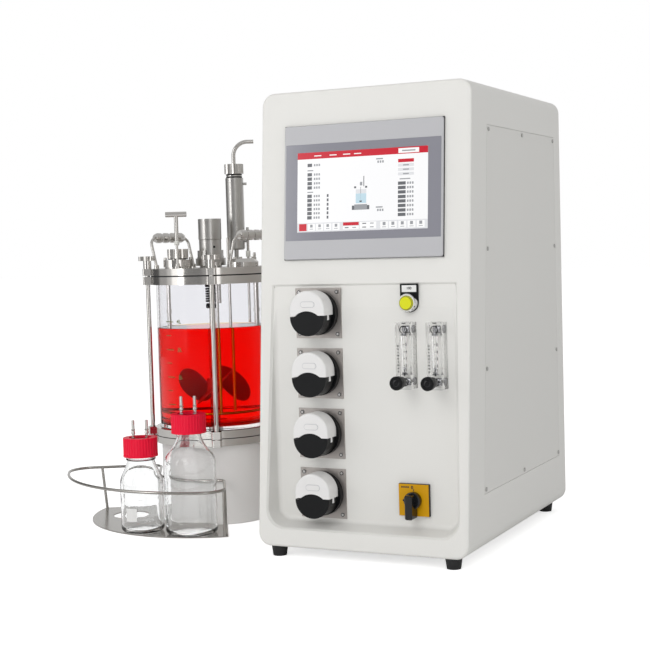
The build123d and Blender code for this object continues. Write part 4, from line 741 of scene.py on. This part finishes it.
NODES_BY_FINISH = (
    (powder_coat, "cabinet_shell"),
    (side_coat_painted_shade, "side_panel rear_panel"),
    (plated_screw, "cabinet_screws"),
    (black_rubber_and_painted_shade, "cabinet_feet gaskets"),
    (bezel_grey, "display_housing"),
    (panel_glass, "display_glass"),
    (brushed_plate, "pump_plates"),
    (black_plastic, "pump_bodies button_legend flow_knob_1 flow_knob_2 switch_body"),
    (motor_black, "pump_motors"),
    (chrome, "button_bezel"),
    (lime_lens, "button_lens"),
    (acrylic, "flow_blocks"),
    (float_steel, "flow_float_1 flow_float_2"),
    (ochre_plate, "switch_plate"),
    (gloss_black, "switch_knob"),
    (inlet_black, "power_inlet"),
    (brass_plated, "rear_fittings"),
    (board_green, "electronics"),
    (grey_enamel, "vessel_base"),
    (steel, "bottom_plate bottom_ring upper_flange head_plate"),
    (vessel_glass, "glass_vessel"),
    (
        bright_steel,
        "tie_rods clamp_nuts lift_handles agitator_shaft condenser_cap sampler_valve "
        "sampler_handle addition_port port_cap inlet_port sparger probes cap_connectors"
    ),
    (satin_steel, "agitator_housing agitator_cap condenser"),
    (impeller_steel_and_painted_reflection, "impeller"),
    (rack_steel, "bottle_rack"),
    (bottle_glass, "bottles"),
    (cap_red, "bottle_cap_small bottle_cap_large"),
)
FINISHES = {node: finish for finish, names in NODES_BY_FINISH for node in names.split()}
for number in range(1, 5):
    FINISHES[f"pump_cover_{number}"] = white_plastic
    FINISHES[f"pump_rotor_{number}"] = black_plastic


def dress_nodes():
    for name, material in FINISHES.items():
        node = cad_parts[name]
        if not node.material_slots:
            node.data.materials.append(material)
        for socket in node.material_slots:
            socket.material = material


dress_nodes()


# ======== vessel pieces
def make_culture():
    """Red culture in the vessel, with a rounded foot and a slight rise at the glass."""
    clear_selection()
    tall, middle = CULTURE_TOP - CULTURE_LOW, (CULTURE_TOP + CULTURE_LOW) / 2
    bpy.ops.mesh.primitive_cylinder_add(
        vertices=160, radius=CULTURE_R * MM, depth=tall * MM, location=(0, 0, middle * MM)
    )
    piece = settle("culture_liquid")
    foot = (CULTURE_LOW + 1) * MM
    pick_edges(piece, lambda a, b: a.z < foot and b.z < foot)
    bpy.ops.mesh.bevel(offset=14.3 * MM, segments=8, affect="EDGES", profile=0.5)
    done()
    pick_faces(piece, lambda middle, normal: normal.z > 0.9)
    for ring, drop in ((1.2, 0.7), (2.0, 0.5), (4.0, 0.3), (20.0, 0.0)):
        bpy.ops.mesh.inset(thickness=ring * MM, depth=0)
        bpy.ops.transform.translate(value=(0, 0, -drop * MM))
    done()
    smooth(piece, 50)
    put(piece, vessel_frame(0, 0, 0))
    return finished(piece, culture)


def make_impeller():
    """Three broad pitched blades on a clamped hub; each falls to the left as seen from outside."""
    reach, chord, thick, pitch, blade_place, count, first = 40.0, 86.0, 2.2, 47.0, 29.5, 3, -25
    low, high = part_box("impeller")
    middle = (low.z + high.z) / 2 / MM
    clear_selection()
    bpy.ops.mesh.primitive_circle_add(vertices=56, radius=0.5 * MM, fill_type="NGON")
    blade = settle("blade")
    edit(blade, "FACE")
    take_all()
    bpy.ops.transform.resize(value=(reach, chord, 1), center_override=(0, 0, 0))
    bpy.ops.transform.translate(value=(0, 0, -thick / 2 * MM))
    bpy.ops.mesh.extrude_region_move(TRANSFORM_OT_translate={"value": (0, 0, thick * MM)})
    turn_outwards()
    pick_edges(blade, lambda a, b: abs(a.z - b.z) < 1e-6)
    bpy.ops.mesh.bevel(offset=0.7 * MM, segments=2, affect="EDGES", profile=0.5)
    done()
    smooth(blade)
    out = Matrix.Translation((-blade_place * MM, 0, 0)) @ Matrix.Rotation(radians(-pitch), 4, "X")
    turns = [Matrix.Rotation(radians(360 / count * i + first), 4, "Z") @ out for i in range(count)]
    profile = [(9.4, -12.3), (10.8, -11.0), (10.8, -3.0), (10.2, -2.4), (10.2, 2.4), (10.8, 3.0)]
    hub = new_turned("hub", profile + [(10.8, 11.0), (9.4, 12.3), (6.4, 12.3)], 40)
    screw = new_turned("hub_screw", [(2.4, 9.8), (2.4, 11.6), (1.9, 12.0), (1.5, 12.0), (1.3, 11.0)], 12)
    sideways = Matrix.Rotation(radians(50), 4, "Z") @ Matrix.Rotation(pi / 2, 4, "X")
    put(screw, Matrix.Translation((0, 0, 7.0 * MM)) @ sideways)
    piece = joined("stirrer_impeller", [copies(blade, "blades", turns), hub, screw])
    put(piece, vessel_frame(0, 0, middle))
    finished(piece, impeller_steel_and_painted_reflection, "stirrer")
    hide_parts("impeller")
    return piece


def make_volume_marks():
    """Printed litre marks bent round the glass: figures, long ticks and half ticks."""
    heights = (217.0, 266.5, 316.0, 366.5)
    half = (heights[3] - heights[0]) / 6

    def on_glass(z, angle):
        return vessel_frame(0, 0, z) @ Matrix.Rotation(radians(angle), 4, "Z")

    parts = []
    for number, z in enumerate(heights, 1):
        words = new_words("figure", f"{number}L", 9.5, 0.05, bold=0.25)
        parts.append(put(words, wall_frame(GLASS_OUT, -36.5, z)))
    long_tick = new_band("tick", GLASS_OUT, 11.0, 1.5, 0.1, 6)
    parts.append(copies(long_tick, "long_ticks", [on_glass(z, -49.4) for z in heights]))
    short_tick = new_band("tick", GLASS_OUT, 7.4, 1.3, 0.1, 4)
    places = [on_glass(heights[0] + half * (2 * i - 1), -51.2) for i in range(4)]
    parts.append(copies(short_tick, "short_ticks", places))
    return finished(joined("volume_marks", parts), print_olive)


def make_seal_spring():
    """Spring and collars of the shaft's seal, below the head plate."""
    coil = new_coil("coil", 10.4, 1.7, 397.0, 424.0, 6)
    low = new_turned("low_collar", [(9.5, 386), (11.5, 387), (11.5, 393), (10.5, 394.5), (9.5, 395)], 40)
    high = new_turned("high_collar", [(10.5, 425), (12.5, 426), (12.5, 429.6), (11.6, 430.4)], 40)
    piece = joined("seal_spring", [coil, low, high])
    put(piece, vessel_frame(0, 0, 0))
    return finished(piece, black_rubber_and_painted_shade, "stirrer")


def make_condenser_rings():
    """Dark sealing rings in the condenser's throat."""
    one = new_ring("ring", 13.6, 1.5, 40, 10)
    piece = copies(one, "condenser_rings", [vessel_frame(*CONDENSER, z) for z in (627.6, 632.0)])
    return finished(piece, black_rubber_and_painted_shade)


def make_pipe_sleeve():
    """Milky hose sleeve pushed over the gas pipe."""
    profile = [(3.9, 478.5), (4.3, 479.2), (4.3, 489.2), (3.9, 490)]
    piece = put(new_turned("pipe_sleeve", profile, 28), vessel_frame(*GAS_PIPE, 0))
    return finished(piece, silicone)


def make_port_screws():
    """Small screws on the addition port and the port plate, each with a hexagon socket."""
    profile = [(2.6, 0), (2.9, 0.4), (2.9, 2.6), (2.5, 3.1), (1.5, 3.1), (1.4, 1.2)]
    one = new_turned("screw", profile, 18)
    ring, seat = 23.49, HEAD_TOP + 16.5
    places = []
    for angle in (20, 90, 160, 230, 300):
        x, y = ring * cos(radians(angle)), ring * sin(radians(angle))
        places.append(vessel_frame(x, y, seat))
    piece = copies(one, "port_screws", places)
    return finished(piece, bright_steel)


def make_head_details():
    """Black disc deep in the grease hole, painted shade of the hole; the port cap's seal and the sampler's
    collar.
    """
    # black disc in the grease hole: painted shade of the hole's inside
    plug = new_turned("grease_hole_shade", [(2.2, 0), (2.2, 0.6), (1.7, 0.75)], 20)
    put(plug, vessel_frame(7.0, -18.7, HEAD_TOP + 37) @ Matrix.Rotation(pi / 2, 4, "X"))
    seal = put(new_ring("port_seal", 18.2, 0.9, 48, 10), vessel_frame(*PORT, HEAD_TOP + 17))
    finished(joined("head_seal_and_hole_shade", [plug, seal]), black_rubber_and_painted_shade)
    collar = new_turned("sampler_collar", [(3.8, 0), (4.7, 0.6), (4.7, 5.8), (3.8, 6.4)], 28)
    put(collar, vessel_frame(*SAMPLER, HEAD_TOP + 42.8))
    return finished(collar, silicone, "sampler")


def make_label():
    """Blank paper label bent round the small bottle, low on its left."""
    piece = new_band("bottle_label", SMALL_OUT, 32.0, 23.0)
    turn = Matrix.Rotation(radians(-28.7), 4, "Z")
    put(piece, vessel_frame(*SMALL_BOTTLE, 36.0) @ turn)
    return finished(piece, label_white)


def make_bottle_scale():
    """Faint printed graduations on both bottles."""
    parts = []
    rows = ((SMALL_BOTTLE, SMALL_OUT, 52, 3, -2), (LARGE_BOTTLE, LARGE_OUT, 26, 8, -24))
    for centre, radius, low, count, angle in rows:
        tick = new_block("tick", (7.0, 0.6, 0.08), round_by=0.03, steps=1)
        places = [wall_frame(radius + 0.07, angle, low + 10 * i, centre) for i in range(count)]
        parts.append(copies(tick, "ticks", places))
    return finished(joined("bottle_scale", parts), print_white)


# ======== cabinet pieces
def make_screw_shade_rings():
    """Dark rings round the heads of the plates' screws: painted shade of the recess round each head."""
    # dark ring round each screw head: painted shade
    ring = new_ring("seat", 2.6, 0.55, 24, 8)
    reach = PUMP_PLATE / 2 - 6.5
    face = plates_low.y - 1.35
    places = []
    for z in PUMP_ZS:
        for sx in (-1, 1):
            for sz in (-1, 1):
                places.append(bay_frame(PUMP_X + sx * reach, face, z + sz * reach))
    return finished(copies(ring, "screw_painted_shade_rings", places), black_print_and_shade)


def make_legend_insert():
    """Blank white insert in the button's legend plate."""
    piece = new_block("legend_insert", (24.0, 10.5, 0.5), round_by=0.2, steps=2)
    put(piece, bay_frame(BUTTON_X, BAY_FLOOR - 1.6, BUTTON_Z + 21.5))
    return finished(piece, label_white)


def make_lens_ring():
    """White surround of the lit button."""
    piece = new_ring("button_surround", 12.3, 1.1, 56, 10, flat=0.6)
    put(piece, bay_frame(BUTTON_X, BAY_FLOOR - 13.5, BUTTON_Z))
    return finished(piece, white_plastic)


def make_flow_scales():
    """Printed scales beside the flow meters' tubes: figures on the right and small bars on the left."""
    parts = []
    front = FLOW_FACE - 0.03
    foot = flow_low.z
    for x in FLOW_XS:
        for i, high in enumerate((29.9, 36.8, 47.5, 57.8, 69.0)):
            words = new_words("figure", str(i + 1), 5.2, 0.03, bold=0.22)
            parts.append(put(words, bay_frame(x + 6.0, front, foot + high)))
            dot = new_block("dot", (1.5, 1.2, 0.06), round_by=0.02, steps=1)
            parts.append(put(dot, bay_frame(x + 2.6, front, foot + high)))
        for i in range(9):
            bar = new_block("bar", (2.0 + 0.8 * (i % 3), 2.0, 0.06), round_by=0.02, steps=1)
            parts.append(put(bar, bay_frame(x - 7.2, front, foot + 27.5 + 4.9 * i)))
            tick = new_block("tick", (1.1, 0.5, 0.06), round_by=0.02, steps=1)
            parts.append(put(tick, bay_frame(x - 4.0, front, foot + 29.0 + 4.9 * i)))
    return finished(joined("flow_scales", parts), black_print_and_shade)


def make_flow_fittings():
    """Threaded sleeves of the ports and the tubes' end stops, seen through the clear blocks."""
    sleeve = [(4.2, 0)]
    for low in (0, 4, 8):
        sleeve += [(6.0, low + 0.4), (6.0, low + 2), (5.2, low + 2.4), (5.2, low + 4)]
    sleeve[-2:] = [(4.6, 10.6), (2.2, 10.6), (2.0, 7)]
    stop = [(3.4, 0), (5.4, 0.3), (5.4, 1.6), (4.0, 2.2), (4.0, 4.4), (2.0, 4.6)]
    steel, black = [], []
    plug = [(2.6, 0), (3.2, 0.3), (3.2, 1.2), (2.8, 1.5)]
    foot, tube = flow_low.z, FLOW_FACE + 11.0

    def in_tube(x, high):
        return Matrix.Translation(CABINET + Vector((x, tube, foot + high)) * MM)

    for x in FLOW_XS:
        for high in (11.0, 91.0):
            port = new_turned("sleeve", sleeve, 32)
            steel.append(put(port, bay_frame(x, flow_high.y - 14.0, foot + high)))
            seal = new_ring("seal", 5.6, 0.8, 32, 8)
            black.append(put(seal, bay_frame(x, FLOW_FACE + 8.5, foot + high)))
        for high in (22.0, 82.0):
            steel.append(put(new_turned("stop", stop, 28), in_tube(x, high)))
        black.append(put(new_turned("top_plug", plug, 24), in_tube(x, 100.2)))
        drop = new_turned("drop", [(1.3, 0), (1.4, 0.1), (1.4, 0.4), (1.2, 0.5)], 20)
        pick_edges(drop, lambda a, b: a.y > 0.6 * MM and b.y > 0.6 * MM)
        bpy.ops.transform.translate(value=(0, 2.0 * MM, 0))
        done()
        black.append(put(drop, bay_frame(x + 2.6, FLOW_FACE - 0.1, foot + 22.5)))
    finished(joined("flow_seals", black), black_rubber_and_painted_shade)
    return finished(joined("flow_fittings", steel), float_steel)


def make_knob_rings():
    """Sloping glossy ring pressed into each valve knob's end."""
    ring = [(2.4, -0.6), (5.9, -0.6), (5.9, -0.2), (5.7, 0.02), (3.9, 0.5), (3.6, 0.52)]
    ring += [(3.2, 0.1), (2.6, -0.1)]
    for i in (1, 2):
        piece = new_turned(f"knob_ring_{i}", ring, 48)
        low, high = on_cabinet(f"flow_knob_{i}")
        put(piece, bay_frame((low.x + high.x) / 2, low.y + 0.55, (low.z + high.z) / 2))
        finished(piece, gloss_black, f"valve_{i}")


def make_switch_marks():
    """Plain marks on the main switch's plate."""
    face = BAY_FLOOR - 7.2
    nought = new_words("figure", "0", 7.0, 0.04, bold=0.3)
    put(nought, bay_frame(SWITCH_X, face, SWITCH_Z + 19.5))
    tick = new_block("tick", (1.2, 3.0, 0.08), round_by=0.03, steps=1)
    ticks = copies(tick, "ticks", [bay_frame(SWITCH_X + 2.2, face, SWITCH_Z + 15.6)])
    small = new_block("mark", (2.4, 2.6, 0.08), round_by=0.03, steps=1)
    places = [bay_frame(SWITCH_X - 16.9 + 3.4 * i, face, SWITCH_Z + 20.0) for i in range(4)]
    row = copies(small, "marks", places)
    return finished(joined("switch_marks", [nought, ticks, row]), black_print_and_shade)


def make_legend_print():
    """Plain number on the button's legend."""
    words = new_words("legend_print", "100", 5.6, 0.04, bold=0.15)
    put(words, bay_frame(BUTTON_X, BAY_FLOOR - 1.9, BUTTON_Z + 22.0))
    return finished(words, black_print_and_shade)


def make_lens_rim():
    """Darker rim round the lens's face."""
    low, high = on_cabinet("button_lens")
    piece = new_ring("lens_rim", 9.9, 0.8, 48, 10)
    put(piece, bay_frame((low.x + high.x) / 2, low.y + 0.5, (low.z + high.z) / 2))
    return finished(piece, lime_rim, "lens")


def make_cover_oval_shades():
    """Slightly darker grey ring round the raised oval on each pump cover: painted shade of the oval's edge.
    """
    for i, z in enumerate(PUMP_ZS, 1):
        piece = new_ring(f"cover_mark_{i}", 4.4, 0.5, 48, 8)
        for side in (-1, 1):
            pick_edges(piece, lambda a, b: a.x * side > 0.1 * MM and b.x * side > 0.1 * MM)
            bpy.ops.transform.translate(value=(side * 7.5 * MM, 0, 0))
            done()
        face = on_cabinet(f"pump_cover_{i}")[0].y
        put(piece, bay_frame(PUMP_X + 2.0, face + 0.8, z + 15.4))
        finished(piece, cover_shade_grey, f"cover_{i}")


def make_display_shade_seal():
    """Thin dark seal behind the display's frame, made a little wider than it so that its edge shows as a
    dark line at the frame's right and bottom: a real seal, partly painted shade of the frame's edges.
    """
    clear_selection()
    bpy.ops.mesh.primitive_plane_add(size=1)
    piece = settle("display_seal_and_shade")
    edit(piece, "FACE")
    take_all()
    bpy.ops.transform.resize(value=(271.8 * MM, 213.8 * MM, 1))
    bpy.ops.mesh.inset(thickness=5 * MM, depth=0)
    bpy.ops.mesh.delete(type="FACE")
    take_all()
    bpy.ops.mesh.extrude_region_move(TRANSFORM_OT_translate={"value": (0, 0, 3.2 * MM)})
    turn_outwards()
    # its outer edge is painted shade: the dark line along the frame's right and bottom
    put(piece, display_frame() @ Matrix.Translation((0, 0, -6.0 * MM)))
    return finished(piece, black_rubber_and_painted_shade)


# ======== display
SCREEN_W, SCREEN_H = 222.7, 126.3
SCREEN_X = -0.45  # its middle, from the display's middle

SCREEN_COLOURS = {
    "panel": lit("screen_white", shade(250, 250, 251), 0.92),
    "red": lit("screen_red", shade(205, 30, 50), 0.9),
    "grey": lit("screen_grey", shade(158, 160, 164), 0.9),
    "pale": lit("screen_pale", shade(228, 229, 232), 0.9),
    "blue": lit("screen_blue", shade(196, 222, 234), 0.9),
    "dark": lit("screen_dark", shade(106, 108, 112), 0.9),
    "white": lit("screen_box_white", shade(252, 252, 252), 0.92),
}


def screen_tags():
    """Places of the display's areas as (colour, left, top, right, bottom) shares of its size."""
    tags = [("red", 0, 0, 1, 0.083), ("white", 0.78, 0.014, 0.934, 0.072)]

    def box(colour, u, v, half_wide, half_tall):
        tags.append((colour, u - half_wide, v - half_tall, u + half_wide, v + half_tall))

    def number(u, v):
        for k in range(3):
            box("grey", u + 0.018 * k, v, 0.006, 0.014)

    for u in (0.16, 0.28, 0.385, 0.47):
        box("white", u, 0.046, 0.028, 0.006)
    box("grey", 0.857, 0.044, 0.05, 0.008)
    rows = (0.161, 0.279, 0.334, 0.390, 0.444, 0.55, 0.604, 0.659, 0.713, 0.766, 0.82)
    for v in rows:
        box("dark", 0.097, v, 0.018, 0.021)
        number(0.136, v)
    for v in rows[5:]:
        box("dark", 0.240, v, 0.007, 0.018)
    for v in (0.228, 0.50):
        box("grey", 0.102, v, 0.023, 0.007)
    box("red", 0.837, 0.165, 0.059, 0.021)
    for v in (0.22, 0.273, 0.327):
        box("pale", 0.837, v, 0.059, 0.018)
        box("grey", 0.837, v, 0.022, 0.007)
    box("grey", 0.83, 0.388, 0.04, 0.007)
    for v in (0.44, 0.494, 0.548, 0.604, 0.658, 0.713, 0.768, 0.822):
        box("dark", 0.807, v, 0.029, 0.02)
        number(0.852, v)
    # picture of the vessel in the middle
    for u in (0.438, 0.554):
        box("dark", u, 0.716, 0.009, 0.027)
    box("grey", 0.496, 0.71, 0.049, 0.034)
    box("blue", 0.4985, 0.603, 0.0405, 0.06)
    box("pale", 0.4985, 0.516, 0.0405, 0.026)
    for u in (0.4535, 0.5375):
        box("dark", u, 0.464, 0.008, 0.012)
    box("grey", 0.499, 0.422, 0.009, 0.022)
    box("dark", 0.5195, 0.392, 0.003, 0.064)
    box("grey", 0.496, 0.55, 0.002, 0.09)
    box("dark", 0.496, 0.64, 0.009, 0.01)
    for v in (0.127, 0.72):
        box("grey", 0.638, v, 0.026, 0.008)
        number(0.628, v + 0.036)
    # bottom row
    tags.append(("pale", 0, 0.885, 1, 1))
    box("red", 0.045, 0.94, 0.03, 0.045)
    for u in (0.113, 0.178, 0.242, 0.307):
        box("white", u, 0.942, 0.028, 0.043)
        box("grey", u, 0.925, 0.010, 0.018)
        box("grey", u, 0.963, 0.014, 0.004)
    box("red", 0.422, 0.913, 0.061, 0.02)
    box("white", 0.422, 0.96, 0.061, 0.02)
    box("white", 0.5535, 0.938, 0.0625, 0.043)
    for u, v in ((0.39, 0.96), (0.525, 0.914), (0.525, 0.96)):
        box("dark", u, v, 0.015, 0.006)
        box("grey", u + 0.058, v, 0.014, 0.006)
    for u in (0.676, 0.742, 0.8125, 0.881, 0.949):
        box("white", u, 0.942, 0.029, 0.043)
        box("grey", u, 0.925, 0.011, 0.02)
        box("grey", u, 0.966, 0.015, 0.004)
    return tags


def make_display():
    """Lit area and its raised tags, gathered by colour."""
    place = display_frame()
    panel = new_block("screen_panel", (SCREEN_W, SCREEN_H, 0.16), (SCREEN_X, 0, 0.04), 0.05, 1)
    put(panel, place)
    finished(panel, SCREEN_COLOURS["panel"])
    layer = {"red": 0.16, "pale": 0.15, "grey": 0.18, "blue": 0.18, "dark": 0.20, "white": 0.17}
    for colour, high in layer.items():
        tag = new_block("tag", (1000.0, 1000.0, 60.0), round_by=12.0, steps=1)
        matrices = []
        for kind, left, top, right, bottom in screen_tags():
            if kind != colour:
                continue
            x = SCREEN_X + ((left + right) / 2 - 0.5) * SCREEN_W
            y = (0.5 - (top + bottom) / 2) * SCREEN_H
            size = ((right - left) * SCREEN_W / 1000, (bottom - top) * SCREEN_H / 1000, 0.001)
            step = Matrix.Translation((x * MM, y * MM, high * MM)) @ Matrix.Diagonal((*size, 1))
            matrices.append(place @ step)
        piece = copies(tag, f"screen_{colour}", matrices)
        finished(piece, SCREEN_COLOURS[colour])


make_culture()
make_impeller()
make_volume_marks()
make_seal_spring()
make_condenser_rings()
make_pipe_sleeve()
make_port_screws()
make_head_details()
make_label()
make_bottle_scale()
make_screw_shade_rings()
make_legend_insert()
make_lens_ring()
make_flow_scales()
make_flow_fittings()
make_knob_rings()
make_switch_marks()
make_legend_print()
make_lens_rim()
make_cover_oval_shades()
make_display_shade_seal()
make_display()


# ======== studio
def seen_directly(tree):
    """1 where the view looks straight at it or through clear glass."""
    path = add(tree, "ShaderNodeLightPath")
    return calc(tree, "MAXIMUM", path.outputs["Is Camera Ray"], path.outputs["Is Transmission Ray"])


def make_world():
    world = bpy.data.worlds.new("studio")
    bpy.context.scene.world = world
    world.use_nodes = True
    tree = world.node_tree
    sky = tree.nodes["Background"]
    sky.inputs["Color"].default_value = (1, 1, 1, 1)
    strength = calc(tree, "MULTIPLY_ADD", seen_directly(tree), 1.0 - SKY, SKY)
    tree.links.new(strength, sky.inputs["Strength"])


def make_floor():
    clear_selection()
    bpy.ops.mesh.primitive_plane_add(size=40, location=(0, 0, 0))
    floor = settle("floor")
    material, tree, shader = new_material("pale_floor")
    pattern = place_group(
        tree, COAT_GRAIN, Colour=(0.9, 0.9, 0.9, 1), Spread=0.02, Shine=0.7, Unevenness=0.05, Grain=60.0
    )
    tree.links.new(pattern.outputs["Colour"], shader.inputs["Base Color"])
    tree.links.new(pattern.outputs["Roughness"], shader.inputs["Roughness"])
    fill(shader, {"Specular IOR Level": 0.0, "Emission Color": (1, 1, 1, 1)})
    strength = calc(tree, "MULTIPLY", seen_directly(tree), 0.6)
    tree.links.new(strength, shader.inputs["Emission Strength"])
    floor.data.materials.append(material)


# brightness of the studio's walls as mirrors show them, by degrees round from the front
WALLS = (
    (-180, 0.75), (-120, 0.7), (-112, 0.1), (-86, 0.1), (-82, 0.42), (-62, 0.45), (-58, 0.7), (-50, 0.7),
    (-47, 1.5), (-32, 1.5), (-30, 4.5), (-25, 4.5), (-22, 0.28), (-12, 0.26), (12, 0.24), (16, 0.4),
    (32, 0.4), (35, 1.6), (52, 1.6), (55, 0.42), (130, 0.45), (180, 0.75),
)


def make_walls():
    """Round studio wall that only mirrors show, with bright and dark upright fields."""
    clear_selection()
    bpy.ops.mesh.primitive_cylinder_add(
        vertices=96, radius=4.2, depth=3.4, end_fill_type="NOTHING", location=(0.2, -0.05, 1.68)
    )
    walls = settle("studio_walls")
    material, tree, shader = new_material("studio_walls")
    place = own_place(tree)
    split = add(tree, "ShaderNodeSeparateXYZ")
    tree.links.new(place, split.inputs[0])
    back = calc(tree, "MULTIPLY", split.outputs[1], -1.0)
    turn = calc(tree, "ARCTAN2", split.outputs[0], back)
    share = calc(tree, "MULTIPLY_ADD", turn, 0.5 / pi, 0.5)
    ramp = add(tree, "ShaderNodeValToRGB")
    tree.links.new(share, ramp.inputs[0])
    stops = ramp.color_ramp.elements
    while len(stops) < len(WALLS):
        stops.new(0.5)
    for stop, (angle, level) in zip(stops, WALLS):
        stop.position = angle / 360 + 0.5
        stop.color = (level / 5, level / 5, level / 5, 1)
    fill(shader, {"Base Color": (0, 0, 0, 1), "Roughness": 1.0})
    tree.links.new(ramp.outputs[0], shader.inputs["Emission Color"])
    shader.inputs["Emission Strength"].default_value = 5.0
    walls.data.materials.append(material)
    walls.visible_camera = False
    walls.visible_diffuse = False
    walls.visible_transmission = False
    walls.visible_shadow = False


def add_lamp(name, place, aim, size, watts):
    data = bpy.data.lights.new(name, "AREA")
    data.shape = "RECTANGLE"
    data.size, data.size_y = size
    data.energy = watts
    lamp = bpy.data.objects.new(name, data)
    bpy.context.scene.collection.objects.link(lamp)
    lamp.location = place
    lamp.rotation_euler = (Vector(aim) - Vector(place)).to_track_quat("-Z", "Y").to_euler()
    lamp.visible_glossy = False
    return lamp


SKY = 0.55  # level of the even light from all round
make_world()
make_floor()
make_walls()
add_lamp("main_softbox", (0.1, -3.2, 2.2), (0.25, 0, 0.35), (1.6, 1.6), 23)
add_lamp("front_softbox", (0.6, -3.2, 0.9), (0.1, 0, 0.2), (1.4, 1.4), 16)
add_lamp("left_softbox", (-2.2, -1.0, 1.0), (0.1, 0, 0.2), (1.4, 1.4), 6)
add_lamp("side_softbox", (2.8, -0.6, 1.6), (0.25, 0, 0.35), (1.2, 1.8), 8)

scene = bpy.context.scene
scene.view_settings.view_transform = "Standard"
